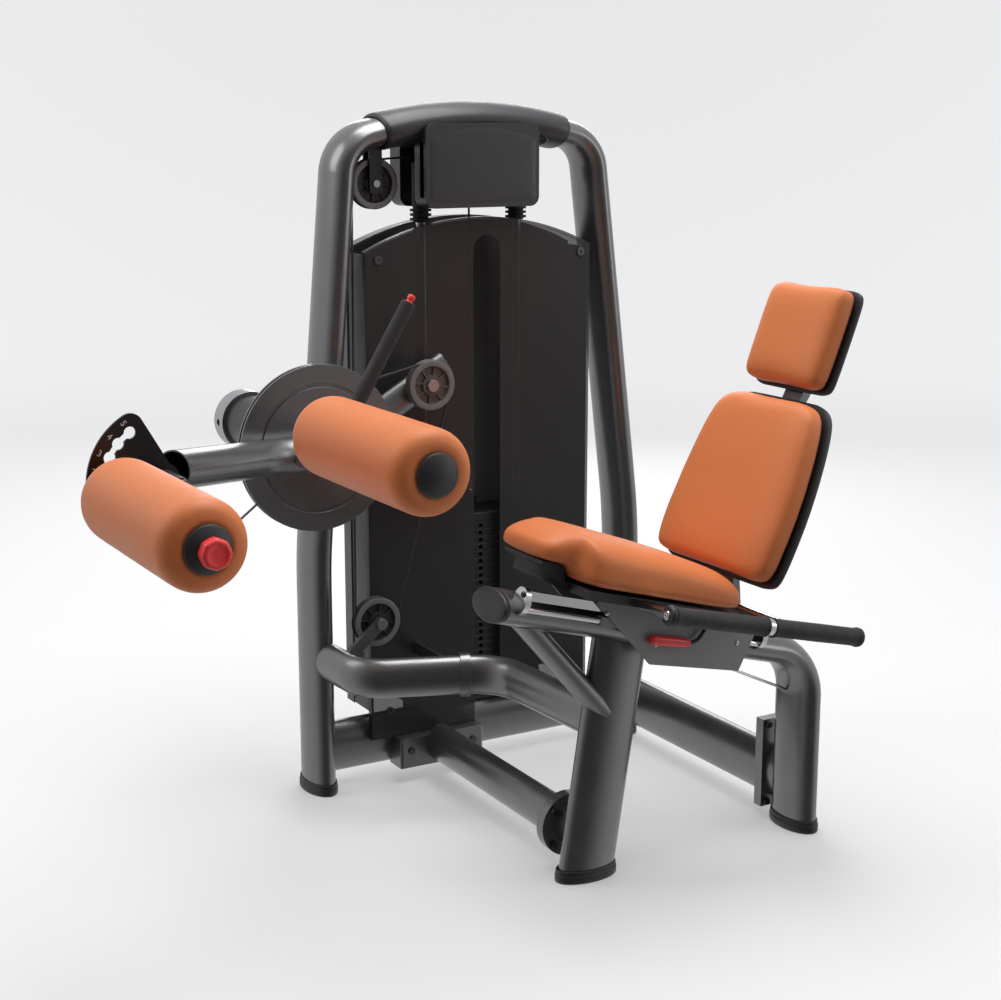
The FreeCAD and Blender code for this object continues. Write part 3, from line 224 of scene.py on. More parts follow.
# ---- finishes
class Finish:
    """A procedural material made of layers: colour drift, worn edges, uneven gloss and fine relief."""

    def __init__(self, name, color, rough, drift, metal=0.0, drift_scale=7.0, bevel=0.0012):
        self.material = bpy.data.materials.new(name)
        self.material.use_nodes = True
        self.nodes = self.material.node_tree.nodes
        self.links = self.material.node_tree.links
        self.shader = self.nodes["Principled BSDF"]
        self.coords = self.add("ShaderNodeTexCoord").outputs["Object"]
        low = [channel * (1 - drift) for channel in color] + [1]
        high = [min(1, channel * (1 + drift)) for channel in color] + [1]
        self.color = self.mix(self.noise(drift_scale, 5), low, high)
        self.rough = self.span(self.noise(drift_scale * 6, 4), rough * 0.88, rough * 1.12)
        self.shader.inputs["Metallic"].default_value = metal
        self.normal = self.edge(bevel) if bevel else None

    def add(self, kind, **values):
        """A new node with its inputs set."""
        node = self.nodes.new(kind)
        for name, value in values.items():
            node.inputs[name.replace("_", " ")].default_value = value
        return node

    def edge(self, radius):
        """The normal that a rounded edge of this radius would have."""
        node = self.add("ShaderNodeBevel", Radius=radius)
        node.samples = 4
        return node.outputs["Normal"]

    def noise(self, scale, detail, stretch=None):
        node = self.add("ShaderNodeTexNoise", Scale=scale, Detail=detail)
        where = self.coords
        if stretch:
            mapping = self.add("ShaderNodeMapping", Scale=stretch)
            self.links.new(self.coords, mapping.inputs["Vector"])
            where = mapping.outputs["Vector"]
        self.links.new(where, node.inputs["Vector"])
        return node.outputs["Fac"]

    def cells(self, scale):
        node = self.add("ShaderNodeTexVoronoi", Scale=scale)
        self.links.new(self.coords, node.inputs["Vector"])
        return node.outputs["Distance"]

    def bands(self, scale, direction):
        """Even ridges square to a direction."""
        node = self.add("ShaderNodeVectorMath")
        node.operation = "DOT_PRODUCT"
        node.inputs[1].default_value = Vector(direction).normalized() * scale
        self.links.new(self.coords, node.inputs[0])
        wave = self.add("ShaderNodeMath")
        wave.operation = "SINE"
        self.links.new(node.outputs["Value"], wave.inputs[0])
        return wave.outputs[0]

    def span(self, value, low, high, start=0.3, end=0.7):
        node = self.add("ShaderNodeMapRange", From_Min=start, From_Max=end, To_Min=low, To_Max=high)
        self.links.new(value, node.inputs["Value"])
        return node.outputs["Result"]

    def mix(self, factor, first, second):
        node = self.add("ShaderNodeMix")
        node.data_type = "RGBA"
        self.links.new(factor, node.inputs[0])
        for socket, value in ((node.inputs[6], first), (node.inputs[7], second)):
            if isinstance(value, bpy.types.NodeSocket):
                self.links.new(value, socket)
            else:
                socket.default_value = value
        return node.outputs[2]

    def relief(self, height, strength, distance):
        bump = self.add("ShaderNodeBump", Strength=strength, Distance=distance)
        self.links.new(height, bump.inputs["Height"])
        if self.normal is not None:
            self.links.new(self.normal, bump.inputs["Normal"])
        self.normal = bump.outputs["Normal"]
        return self

    def worn(self, color, amount, radius=0.003):
        """Lets edges show a worn colour, broken up by noise."""
        geometry = self.add("ShaderNodeNewGeometry")
        dot = self.add("ShaderNodeVectorMath")
        dot.operation = "DOT_PRODUCT"
        self.links.new(self.edge(radius), dot.inputs[0])
        self.links.new(geometry.outputs["Normal"], dot.inputs[1])
        mask = self.span(dot.outputs["Value"], amount, 0.0, 0.8, 0.985)
        broken = self.add("ShaderNodeMath")
        broken.operation = "MULTIPLY"
        self.links.new(mask, broken.inputs[0])
        self.links.new(self.span(self.noise(90, 5), 0, 1, 0.38, 0.62), broken.inputs[1])
        self.color = self.mix(broken.outputs[0], self.color, list(color) + [1])
        return self

    def smudged(self, amount, scale=14):
        """Adds soft patches of higher roughness, as hands and cloths leave."""
        add = self.add("ShaderNodeMath")
        add.operation = "ADD"
        self.links.new(self.rough, add.inputs[0])
        self.links.new(self.span(self.noise(scale, 6), 0, amount, 0.45, 0.75), add.inputs[1])
        self.rough = add.outputs[0]
        return self

    def set(self, **values):
        for name, value in values.items():
            self.shader.inputs[name.replace("_", " ")].default_value = value
        return self

    def done(self):
        self.links.new(self.color, self.shader.inputs["Base Color"])
        self.links.new(self.rough, self.shader.inputs["Roughness"])
        if self.normal is not None:
            self.links.new(self.normal, self.shader.inputs["Normal"])
        return self.material


PLASTICS = (
    # key, material, colour, roughness, relief, coat
    ("black_plastic", "black_plastic", (0.028, 0.028, 0.03), 0.46, 0.35, 0.0),
    ("housing", "housing_plastic", (0.036, 0.036, 0.04), 0.42, 0.22, 0.15),
    ("panel", "panel_grey", (0.16, 0.16, 0.165), 0.5, 0.2, 0.0),
    ("pulley_rim", "pulley_rim_grey", (0.2, 0.2, 0.2), 0.28, 0.1, 0.3),
    ("pulley_brown", "pulley_brown", (0.105, 0.095, 0.088), 0.3, 0.1, 0.3),
    ("red", "red_plastic", (1.0, 0.045, 0.045), 0.34, 0.16, 0.2),
    ("white", "dial_marking", (0.75, 0.75, 0.75), 0.6, 0.1, 0.0),
    ("rubber", "soft_rubber", (0.024, 0.024, 0.025), 0.66, 0.4, 0.0),
)
METALS = (
    # key, material, colour, roughness, stretch of the grain, its strength
    ("dark_steel", "dark_steel", (0.11, 0.11, 0.115), 0.36, (1, 1, 1), 0.08),
    ("dial", "dial_plate", (0.055, 0.052, 0.052), 0.3, (1, 1, 6), 0.1),
    ("chrome", "polished_steel", (0.66, 0.66, 0.67), 0.12, (1, 1, 1), 0.03),
    ("steel", "zinc_steel", (0.5, 0.5, 0.51), 0.3, (1, 6, 1), 0.16),
)


def plastic(name, color, rough, relief, coat):
    finish = Finish(name, color, rough, drift=0.12, drift_scale=5)
    finish.relief(finish.noise(1900, 3), relief, 0.0002)
    finish.relief(finish.noise(260, 2), relief * 0.3, 0.0003)
    return finish.smudged(0.06).set(Coat_Weight=coat, Coat_Roughness=0.2).done()


def metal(name, color, rough, grain, grain_strength):
    finish = Finish(name, color, rough, metal=1.0, drift=0.06, drift_scale=11)
    finish.relief(finish.noise(420, 4, grain), grain_strength, 0.0002)
    return finish.smudged(0.1).done()


def carriage_grey():
    finish = Finish("carriage_grey", (0.27, 0.27, 0.272), 0.42, metal=0.1, drift=0.07, drift_scale=4)
    finish.relief(finish.noise(240, 3), 0.12, 0.0003).worn((0.34, 0.34, 0.34), 0.4)
    return finish.smudged(0.07).set(Coat_Weight=0.15, Coat_Roughness=0.3).done()


def make_finishes():
    made = {}
    paint = Finish("silver_grey_paint", (0.185, 0.185, 0.187), 0.3, metal=0.8, drift=0.05, drift_scale=3)
    flakes = paint.cells(2600)
    paint.color = paint.mix(paint.span(flakes, 0.0, 0.14, 0.1, 0.6), paint.color, (0.45, 0.45, 0.46, 1))
    paint.relief(paint.noise(190, 2), 0.1, 0.0003)
    paint.relief(flakes, 0.05, 0.0001)
    paint.worn((0.36, 0.36, 0.37), 0.35).smudged(0.05).set(Coat_Weight=0.35, Coat_Roughness=0.18)
    made["frame"] = paint.done()

    black = Finish("black_paint", (0.022, 0.022, 0.024), 0.36, metal=0.2, drift=0.2)
    black.relief(black.noise(230, 3), 0.16, 0.0003)
    black.worn((0.12, 0.12, 0.12), 0.4).smudged(0.08).set(Coat_Weight=0.2, Coat_Roughness=0.25)
    made["black_paint"] = black.done()

    for key, name, color, rough, relief, coat in PLASTICS:
        made[key] = plastic(name, color, rough, relief, coat)
    for key, name, color, rough, grain, grain_strength in METALS:
        made[key] = metal(name, color, rough, grain, grain_strength)
    made["carriage"] = carriage_grey()

    iron = Finish("stack_iron", (0.02, 0.02, 0.021), 0.5, metal=0.35, drift=0.25, drift_scale=20)
    iron.relief(iron.noise(330, 5), 0.35, 0.0005).worn((0.16, 0.155, 0.15), 0.7, 0.0022)
    made["iron"] = iron.done()

    rubber = Finish("grip_rubber", (0.026, 0.026, 0.027), 0.62, drift=0.15, drift_scale=12)
    rubber.relief(rubber.bands(1500, (0.972, 0, -0.234)), 0.16, 0.0003)
    rubber.relief(rubber.noise(900, 4), 0.3, 0.0003)
    made["grip"] = rubber.smudged(0.1).done()

    smoke = Finish("smoked_sheet", (0.05, 0.047, 0.046), 0.3, drift=0.05, drift_scale=1.5, bevel=0.0015)
    smoke.relief(smoke.noise(2.5, 1, (1, 1, 0.15)), 0.012, 0.002)
    smoke.smudged(0.05, 5).set(Alpha=0.66, Specular_IOR_Level=0.35, Coat_Weight=0.12, Coat_Roughness=0.12)
    made["smoke"] = smoke.done()

    vinyl = Finish("tan_vinyl", (0.69, 0.2, 0.062), 0.48, drift=0.05, drift_scale=9, bevel=0)
    vinyl.color = vinyl.mix(vinyl.span(vinyl.noise(160, 6), 0, 0.2), vinyl.color, (0.8, 0.26, 0.09, 1))
    vinyl.relief(vinyl.noise(26, 3), 0.1, 0.003)
    vinyl.relief(vinyl.cells(620), 0.22, 0.0004)
    vinyl.relief(vinyl.noise(1500, 3), 0.18, 0.0002)
    vinyl.smudged(0.08, 9).set(Sheen_Weight=0.06, Sheen_Roughness=0.4, Specular_IOR_Level=0.34)
    made["vinyl"] = vinyl.done()

    thread = Finish("tan_thread", (0.4, 0.125, 0.055), 0.7, drift=0.1, drift_scale=200, bevel=0)
    thread.relief(thread.noise(2500, 3), 0.4, 0.0003)
    made["thread"] = thread.done()

    rope = Finish("coated_cable", (0.035, 0.035, 0.036), 0.42, drift=0.2, drift_scale=60, bevel=0)
    rope.relief(rope.bands(2600, (1, 1, 0.6)), 0.5, 0.0004)
    made["cable"] = rope.done()
    return made


CAD_FINISHES = {
    "frame": ["left_upright", "right_upright", "top_tube", "base_tube", "base_bracket", "cross_tube",
              "front_leg", "rear_base_tube", "seat_rail", "rail_brace", "guard_tube", "pulley_brackets",
              "swing_arm", "cam_disc", "back_post"],
    "black_paint": ["pulley_hangers", "stack_base", "bearing_housing", "ankle_carrier", "shin_arm",
                    "pad_lever"],
    "black_plastic": ["end_caps", "seat_base", "rest_shells", "lower_pulley", "corner_pulley",
                      "centre_pulley", "ankle_cap", "shin_cap"],
    "housing": ["top_cover", "pulley_housings"],
    "panel": ["side_panels", "rear_panel"],
    "smoke": ["shroud_front"],
    "iron": ["fixed_plates", "lifted_plates", "head_plate"],
    "chrome": ["guide_rods", "slide_rail", "handle_frame"],
    "dark_steel": ["frame_bolts"],
    "steel": ["axle_and_collar", "pulley_bolts", "cable_drum", "release_lever"],
    "carriage": ["seat_carriage"],
    "pulley_brown": ["upper_pulley"],
    "dial": ["sector_plate"],
    "rubber": ["rod_sleeves"],
    "grip": ["hand_grips"],
    "red": ["lock_knob", "lever_button", "selector_pin"],
    "cable": ["cable_run", "cable_drop"],
    "vinyl": ["ankle_pad", "shin_pad", "seat_pad", "back_pad", "head_pad"],
}


FINISHES = make_finishes()


def paint_nodes():
    for finish, names in CAD_FINISHES.items():
        for name in names:
            data = NODES[name].data
            if not data.materials:
                data.materials.append(FINISHES[finish])
            for index in range(len(data.materials)):
                data.materials[index] = FINISHES[finish]


# ---- mesh pieces
def declare(name, mesh, body, finish, smooth, replaces):
    """Puts a mesh in the scene with its finish, its body and the CAD nodes it stands in for."""
    for polygon in mesh.polygons:
        polygon.use_smooth = smooth
    mesh.materials.clear()
    mesh.materials.append(FINISHES[finish])
    obj = bpy.data.objects.new(name, mesh)
    bpy.context.scene.collection.objects.link(obj)
    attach(obj, body)
    if replaces:
        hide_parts(*replaces)
    return obj


def piece(name, verts, faces, body, finish, smooth=True, replaces=()):
    mesh = bpy.data.meshes.new(name)
    mesh.from_pydata([tuple(v) for v in verts], [], faces)
    mesh.validate()
    return declare(name, mesh, body, finish, smooth, replaces)


def settle(obj):
    """Applies an object's modifiers to its mesh."""
    graph = bpy.context.evaluated_depsgraph_get()
    baked = bpy.data.meshes.new_from_object(obj.evaluated_get(graph))
    obj.modifiers.clear()
    obj.data = baked
    for polygon in baked.polygons:
        polygon.use_smooth = True
    return obj


def subdivide(obj):
    modifier = obj.modifiers.new("smooth", "SUBSURF")
    modifier.levels = 1
    return settle(obj)


def loft(rings, looped=False):
    """A closed skin over rings of equal size, with fans at both ends or joined in a loop."""
    count = len(rings[0])
    verts = [point for ring in rings for point in ring]
    faces = []
    for level in range(len(rings) - 1):
        for i in range(count):
            j = (i + 1) % count
            low = level * count
            faces.append((low + i, low + j, low + count + j, low + count + i))
    if looped:
        low = (len(rings) - 1) * count
        faces.extend((low + i, low + (i + 1) % count, (i + 1) % count, i) for i in range(count))
        return verts, faces
    for ring, low, turn in ((rings[0], 0, -1), (rings[-1], (len(rings) - 1) * count, 1)):
        centre = len(verts)
        verts.append(sum(ring, Vector()) / count)
        for i in range(count):
            j = (i + 1) % count
            faces.append((low + i, low + j, centre)[::turn])
    return verts, faces


def frame_of(axis):
    """An axis made one unit long, and two unit vectors square to it and to each other."""
    axis = Vector(axis).normalized()
    side = axis.cross(Z if abs(axis.z) < 0.9 else X).normalized()
    return axis, side, axis.cross(side)


def lathe(name, place, axis, profile, body, finish, segments, replaces=(), looped=False):
    """A turned solid from (distance along the axis, radius) stations, with a hole through it if looped."""
    axis, side, other = frame_of(axis)
    rings = []
    for along, radius in profile:
        ring = []
        for step in range(segments):
            angle = 2 * math.pi * step / segments
            spoke = side * math.cos(angle) + other * math.sin(angle)
            ring.append(Vector(place) + axis * along + spoke * radius)
        rings.append(ring)
    return piece(name, *loft(rings, looped), body, finish, replaces=replaces)


def rounded(stations, rounding, steps=4):
    """Replaces each inner corner of a lathe profile with a short arc-like run of points."""
    out = [stations[0]]
    for before, corner, after in zip(stations, stations[1:], stations[2:]):
        a, c, b = Vector(before), Vector(corner), Vector(after)
        reach = min(rounding, (a - c).length / 2.1, (b - c).length / 2.1)
        start = c + (a - c).normalized() * reach
        end = c + (b - c).normalized() * reach
        for step in range(steps + 1):
            t = step / steps
            point = start * (1 - t) ** 2 + c * 2 * t * (1 - t) + end * t ** 2
            out.append((point.x, point.y))
    out.append(stations[-1])
    return out


def turned(name, place, axis, stations, rounding, body, finish, segments=48, replaces=(), looped=False):
    """A turned solid whose profile has rounded corners."""
    return lathe(name, place, axis, rounded(stations, rounding), body, finish, segments, replaces, looped)


def mesh_of(name, curve):
    """The mesh that a curve or a text makes."""
    holder = bpy.data.objects.new(name + "_line", curve)
    bpy.context.scene.collection.objects.link(holder)
    graph = bpy.context.evaluated_depsgraph_get()
    mesh = bpy.data.meshes.new_from_object(holder.evaluated_get(graph))
    bpy.data.objects.remove(holder)
    mesh.name = name
    return mesh


def tube(name, points, radius, body, finish, closed=False, sides=12, replaces=()):
    """A round rod along points, open or closed into a ring."""
    curve = bpy.data.curves.new(name, "CURVE")
    curve.dimensions = "3D"
    curve.bevel_depth = radius
    curve.bevel_resolution = max(1, sides // 4)
    curve.use_fill_caps = not closed
    spline = curve.splines.new("POLY")
    spline.points.add(len(points) - 1)
    for knot, point in zip(spline.points, points):
        knot.co = (*point, 1)
    spline.use_cyclic_u = closed
    return declare(name, mesh_of(name, curve), body, finish, True, replaces)


def ellipse(centre, side, up, half_side, half_up, count=64):
    ring = []
    for step in range(count):
        angle = 2 * math.pi * step / count
        ring.append(centre + side * (half_side * math.cos(angle)) + up * (half_up * math.sin(angle)))
    return ring


def spread(stations, parts):
    """Fills in between stations with a smooth monotone blend, keeping each station."""
    filled = []
    for index in range(len(stations) - 1):
        p0 = stations[max(0, index - 1)]
        p1, p2 = stations[index], stations[index + 1]
        p3 = stations[min(len(stations) - 1, index + 2)]
        for part in range(parts):
            t = part / parts
            row = []
            for a, b, c, d in zip(p0, p1, p2, p3):
                value = 0.5 * (2 * b + (c - a) * t + (2 * a - 5 * b + 4 * c - d) * t * t
                               + (3 * b - a - 3 * c + d) * t ** 3)
                low, high = min(b, c), max(b, c)
                row.append(min(max(value, low), high))
            filled.append(tuple(row))
    filled.append(tuple(stations[-1]))
    return filled


# ---- upholstery
CUSHION_CELL = 0.005
CUSHION_SIDES = 96
FILL_FRAMES = 20
FILL_PRESSURE = 4.0
EVENING_ROUNDS = 90
WELT_SUNK = 0.0003
STITCH_ASIDE = 0.0035
STITCH_HALF_LENGTH = 0.0021
STITCH_HALF_WIDTH = 0.0005
STITCH_CROWN = 0.0006


def share(value):
    """Limits a value to the range 0 to 1."""
    return min(1.0, max(0.0, value))


def evened(mesh, moves):
    """Spreads each point's movement over its neighbours, so that a swell has no ripples."""
    values = np.array([tuple(move) for move in moves])
    ends = np.array([tuple(edge.vertices) for edge in mesh.edges])
    ends = np.concatenate([ends, ends[:, ::-1]])
    neighbours = np.bincount(ends[:, 0], minlength=len(values))[:, None]
    for _ in range(EVENING_ROUNDS):
        total = [np.bincount(ends[:, 0], values[ends[:, 1], axis], len(values)) for axis in range(3)]
        values = 0.4 * values + 0.6 * np.stack(total, axis=1) / neighbours
    return values


def inflate(obj, cap, keep):
    """Stuffs a cushion: even cells, a short pressure run, a cap on each point's movement, then an even swell.

    keep(point) gives how much of its movement a point may have, from 0 where it is glued down to 1.
    """
    remesh = obj.modifiers.new("cells", "REMESH")
    remesh.mode = "VOXEL"
    remesh.voxel_size = CUSHION_CELL
    settle(obj)
    rest = [vertex.co.copy() for vertex in obj.data.vertices]
    cloth = obj.modifiers.new("fill", "CLOTH")
    cloth.settings.quality = 4
    cloth.settings.use_pressure = True
    cloth.settings.uniform_pressure_force = FILL_PRESSURE
    cloth.settings.effector_weights.gravity = 0
    cloth.settings.tension_stiffness = 25
    cloth.settings.compression_stiffness = 25
    cloth.point_cache.frame_start = 1
    cloth.point_cache.frame_end = FILL_FRAMES
    for step in range(1, FILL_FRAMES + 1):
        bpy.context.scene.frame_set(step)
    settle(obj)
    bpy.context.scene.frame_set(1)
    moves = []
    for vertex, start in zip(obj.data.vertices, rest):
        move = vertex.co - start
        limit = cap * keep(start)
        moves.append(move.normalized() * limit if move.length > limit else move)
    for vertex, start, move in zip(obj.data.vertices, rest, evened(obj.data, moves)):
        vertex.co = start + Vector(move)
    relax = obj.modifiers.new("relax", "SMOOTH")
    relax.iterations = 4
    relax.factor = 0.5
    return subdivide(obj)


def seam(name, pad, centre, normal, body, count=150, stitched=True):
    """A sewn seam where a plane cuts a cushion: a sunk welt line with a row of stitches beside it."""
    tree = BVHTree.FromObject(pad, bpy.context.evaluated_depsgraph_get())
    normal, side, other = frame_of(normal)
    line = []
    for step in range(count):
        angle = 2 * math.pi * step / count
        ray = side * math.cos(angle) + other * math.sin(angle)
        hit, outward, _, _ = tree.ray_cast(centre + ray * 0.5, -ray)
        if hit is not None:
            line.append((hit, outward))
    welt = [hit - outward * WELT_SUNK for hit, outward in line]
    size = 0.0009 if stitched else 0.0005
    tube(name + "_welt", welt, size, body, "thread" if stitched else "vinyl", closed=True, sides=8)
    if not stitched:
        return
    verts, faces = [], []
    for index in range(0, len(line), 2):
        hit, outward = line[index]
        nearby = line[(index + 1) % len(line)][0]
        along = (nearby - hit).normalized()
        across = outward.cross(along).normalized()
        middle, outward, _, _ = tree.find_nearest(hit + across * STITCH_ASIDE)
        middle += outward * 0.0001
        low = len(verts)
        for u, w in ((-1, 0), (-0.7, 1), (0.7, 1), (1, 0), (0.7, -1), (-0.7, -1)):
            verts.append(middle + along * (u * STITCH_HALF_LENGTH) + across * (w * STITCH_HALF_WIDTH))
        verts.append(middle + outward * STITCH_CROWN)
        for i in range(6):
            faces.append((low + i, low + (i + 1) % 6, low + 6))
    piece(name + "_stitches", verts, faces, body, "thread")


def roller(name, place, y_near, y_far, node, body):
    """A foam roller: full round ends that roll over into a dimple round the spindle."""
    end = [(0.006, 0.015), (0.005, 0.034), (0.0015, 0.043), (0.001, 0.049), (0.0035, 0.059), (0.01, 0.0685),
           (0.02, ROLLER_RADIUS - 0.0035), (0.032, ROLLER_RADIUS - 0.0008), (0.05, ROLLER_RADIUS - 0.0002)]
    stations = [(y_near + along, size) for along, size in end]
    stations.append(((y_near + y_far) / 2, ROLLER_RADIUS))
    stations.extend((y_far - along, size) for along, size in reversed(end))
    rings = []
    for y, size in spread(stations, 4):
        rings.append(ellipse(at(place, y), X, Z, size, size, CUSHION_SIDES))
    pad = piece(name, *loft(rings), body, "vinyl", replaces=(node,))
    inflate(pad, 0.0025, lambda point: share(((point - at(place, point.y)).length - 0.05) / 0.015))
    return pad


def cushion_ring(centre, half, up, above, below, square, above_square, below_square):
    """A cushion's cross-section: half a width along Y, two heights along up, squarer for lower powers."""
    ring = []
    for step in range(CUSHION_SIDES):
        angle = 2 * math.pi * step / CUSHION_SIDES
        c, sn = math.cos(angle), math.sin(angle)
        across = math.copysign(abs(c) ** square, c)
        rise = above * sn ** above_square if sn >= 0 else -below * abs(sn) ** below_square
        ring.append(centre + Y * (half * across) + up * rise)
    return ring


SEAT_STATIONS = [
    # s, half width, underside, top
    (0.019, 0.034, 0.12, 0.132), (0.0215, 0.06, 0.116, 0.1375), (0.029, 0.08, 0.113, 0.1435),
    (0.042, 0.091, 0.111, 0.151), (0.058, 0.0955, 0.1105, 0.1585), (0.076, 0.0985, 0.11, 0.164),
    (0.09, 0.108, 0.106, 0.1668), (0.1, 0.131, 0.093, 0.1675), (0.112, 0.148, 0.084, 0.1672),
    (0.134, 0.1555, 0.0805, 0.166), (0.164, 0.158, 0.08, 0.164), (0.23, 0.159, 0.08, 0.159),
    (0.32, 0.158, 0.08, 0.152), (0.4, 0.156, 0.08, 0.144), (0.44, 0.151, 0.0805, 0.137),
    (0.465, 0.141, 0.082, 0.129), (0.48, 0.122, 0.087, 0.119), (0.4835, 0.09, 0.093, 0.11),
]


def seat_cushion():
    """The saddle seat: a narrow tongue between the knees that widens to a crowned seat."""
    up = (on_rail(0, 1) - on_rail(0, 0)).normalized()
    rings = []
    for s, half, low, high in spread(SEAT_STATIONS, 4):
        middle = low + (high - low) * 0.42
        rings.append(cushion_ring(on_rail(s, middle), half, up, high - middle, middle - low, 0.42, 0.72, 0.3))
    pad = piece("seat_cushion", *loft(rings), "seat", "vinyl", replaces=("seat_pad",))
    inflate(pad, 0.008, lambda point: share(((point - RAIL_NOSE).dot(up) - 0.088) / 0.03))
    return pad


BACK_STATIONS = [
    # height, half width, front face, rear face
    (0.0, 0.134, 0.018, 0.046), (0.004, 0.16, 0.009, 0.05), (0.013, 0.1755, 0.003, 0.0515),
    (0.04, 0.183, 0.001, 0.052), (0.1, 0.186, 0.0, 0.052), (0.16, 0.185, 0.0, 0.052),
    (0.22, 0.1795, 0.0, 0.052), (0.28, 0.17, 0.001, 0.052), (0.325, 0.158, 0.003, 0.052),
    (0.348, 0.145, 0.006, 0.0515), (0.362, 0.124, 0.012, 0.05), (0.369, 0.092, 0.02, 0.046),
]
HEAD_STATIONS = [
    (0.0, 0.084, 0.018, 0.044), (0.004, 0.102, 0.009, 0.048), (0.012, 0.1125, 0.003, 0.0495),
    (0.035, 0.1165, 0.0, 0.05), (0.106, 0.1175, 0.0, 0.05), (0.176, 0.1165, 0.0, 0.05),
    (0.199, 0.1125, 0.003, 0.0495), (0.208, 0.102, 0.009, 0.048), (0.212, 0.084, 0.018, 0.044),
]


def rest_cushion(name, node, base, tilt, stations):
    """A backrest cushion, crowned in front and flat behind."""
    back = on_rest(Vector(), tilt, 0, 0, 1)
    rings = []
    for t, half, front, rear in spread(stations, 5):
        centre = on_rest(base, tilt, 0, t, (front + rear) / 2)
        depth = (rear - front) / 2
        rings.append(cushion_ring(centre, half, back, depth, depth, 0.36, 0.3, 0.62))
    pad = piece(name, *loft(rings), "seat", "vinyl", replaces=(node,))
    inflate(pad, 0.007, lambda point: share((0.047 - (point - base).dot(back)) / 0.02))
    return pad


def rest_shell(name, base, tilt, stations, thick, replaces=()):
    """The moulded board behind a cushion, a little larger than it, with rolled edges."""
    rear = max(row[3] for row in stations) + 0.0006
    middle = (stations[0][0] + stations[-1][0]) / 2
    outline = spread([(t, half) for t, half, _, _ in stations], 4)
    rings = []
    layers = ((0.0, 0.003), (0.0, 0.0045), (0.0015, 0.0055), (thick * 0.55, 0.0055), (thick - 0.005, 0.003),
              (thick - 0.0015, -0.001), (thick, -0.006), (thick, -0.04))
    for depth, grow in layers:
        ring = []
        for side, rows in ((-1, outline), (1, outline[::-1])):
            for t, half in rows:
                stretch = 1 + grow / 0.17
                height = middle + (t - middle) * stretch
                ring.append(on_rest(base, tilt, side * (half + grow), height, rear + depth))
        rings.append(ring)
    shell = piece(name, *loft(rings), "seat", "black_plastic", replaces=replaces)
    return subdivide(shell)


def upholstery():
    ankle = roller("ankle_roller_pad", ANKLE, ANKLE_NEAR_Y, ANKLE_FAR_Y, "ankle_pad", "ankle_roller")
    roller("shin_roller_pad", SHIN, SHIN_NEAR_Y, SHIN_FAR_Y, "shin_pad", "shin_roller")
    seam("ankle_ring", ankle, at(ANKLE, -0.57), Y, "ankle_roller", stitched=False)
    seat = seat_cushion()
    up = on_rail(0, 1) - on_rail(0, 0)
    seam("seat_edge", seat, on_rail(0.29, 0.094), up, "seat", 300)
    back = rest_cushion("back_cushion", "back_pad", BACK_BASE, BACK_TILT, BACK_STATIONS)
    head = rest_cushion("head_cushion", "head_pad", HEAD_BASE, HEAD_TILT, HEAD_STATIONS)
    back_middle = on_rest(BACK_BASE, BACK_TILT, 0, 0.18, 0.041)
    head_middle = on_rest(HEAD_BASE, HEAD_TILT, 0, 0.106, 0.039)
    seam("back_edge", back, back_middle, on_rest(Vector(), BACK_TILT, 0, 0, 1), "seat", 260)
    seam("head_edge", head, head_middle, on_rest(Vector(), HEAD_TILT, 0, 0, 1), "seat", 200)
    rest_shell("back_shell", BACK_BASE, BACK_TILT, BACK_STATIONS, 0.016, ("rest_shells",))
    rest_shell("head_shell", HEAD_BASE, HEAD_TILT, HEAD_STATIONS, 0.0145)


# ---- foot caps and rail cap
def foot_cap(name, centre, half_x, half_y, replaces=()):
    """A moulded foot: a cup round the tube's end with a stepped side and a soft top rim."""
    sections = [
        # height, growth over the tube
        (0.0, 0.001), (0.0008, 0.0035), (0.003, 0.005), (0.015, 0.005), (0.0165, 0.0046),
        (0.0172, 0.0036), (0.0185, 0.0034), (0.0245, 0.0034), (0.0262, 0.0027), (0.027, 0.0014),
        (0.0266, 0.0004), (0.0118, 0.0004), (0.0115, -0.015),
    ]
    rings = [ellipse(centre + Z * height, X, Y, half_x + grow, half_y + grow) for height, grow in sections]
    piece(name, *loft(rings), "frame", "black_plastic", replaces=replaces)


def caps():
    foot_cap("left_foot_cap", Vector((-TOWER_X, 0, 0)), OVAL_THIN, OVAL_WIDE, ("end_caps",))
    foot_cap("right_foot_cap", Vector((TOWER_X, 0, 0)), OVAL_THIN, OVAL_WIDE)
    foot_cap("rear_foot_cap", Vector((LEG_X, SEAT_Y, 0)), 0.033, OVAL_WIDE)
    foot_cap("front_foot_cap", Vector((-0.138, SEAT_Y, 0)), OVAL_WIDE + 0.002, OVAL_THIN)
    along = (on_rail(-1, 0) - on_rail(0, 0)).normalized()
    up = (on_rail(0, 1) - on_rail(0, 0)).normalized()
    sections = ((0.0001, -0.001), (0.001, 0.0002), (0.008, 0.0002), (0.0105, -0.001), (0.012, -0.0045),
                (0.0128, -0.012), (0.013, -0.022))
    rings = [ellipse(on_rail(0, 0) + along * reach, Y, up, OVAL_WIDE + grow, 0.033 + grow)
             for reach, grow in sections]
    piece("rail_cap", *loft(rings), "frame", "black_plastic")


# ---- roller hardware
def domed(radius, height, hole=0.0):
    """Profile of a domed cap: a short rim, then a crown down to the middle or to a hole."""
    profile = [(0.0002, radius - 0.002), (0.0004, radius - 0.0002), (0.0022, radius)]
    outer, inner = radius - 0.0006, max(hole, 0.0015)
    for step in range(11):
        size = outer - (outer - inner) * step / 10
        crown = 1 - (size / radius) ** 2
        profile.append((0.0034 + (height - 0.0034) * crown, size))
    return profile


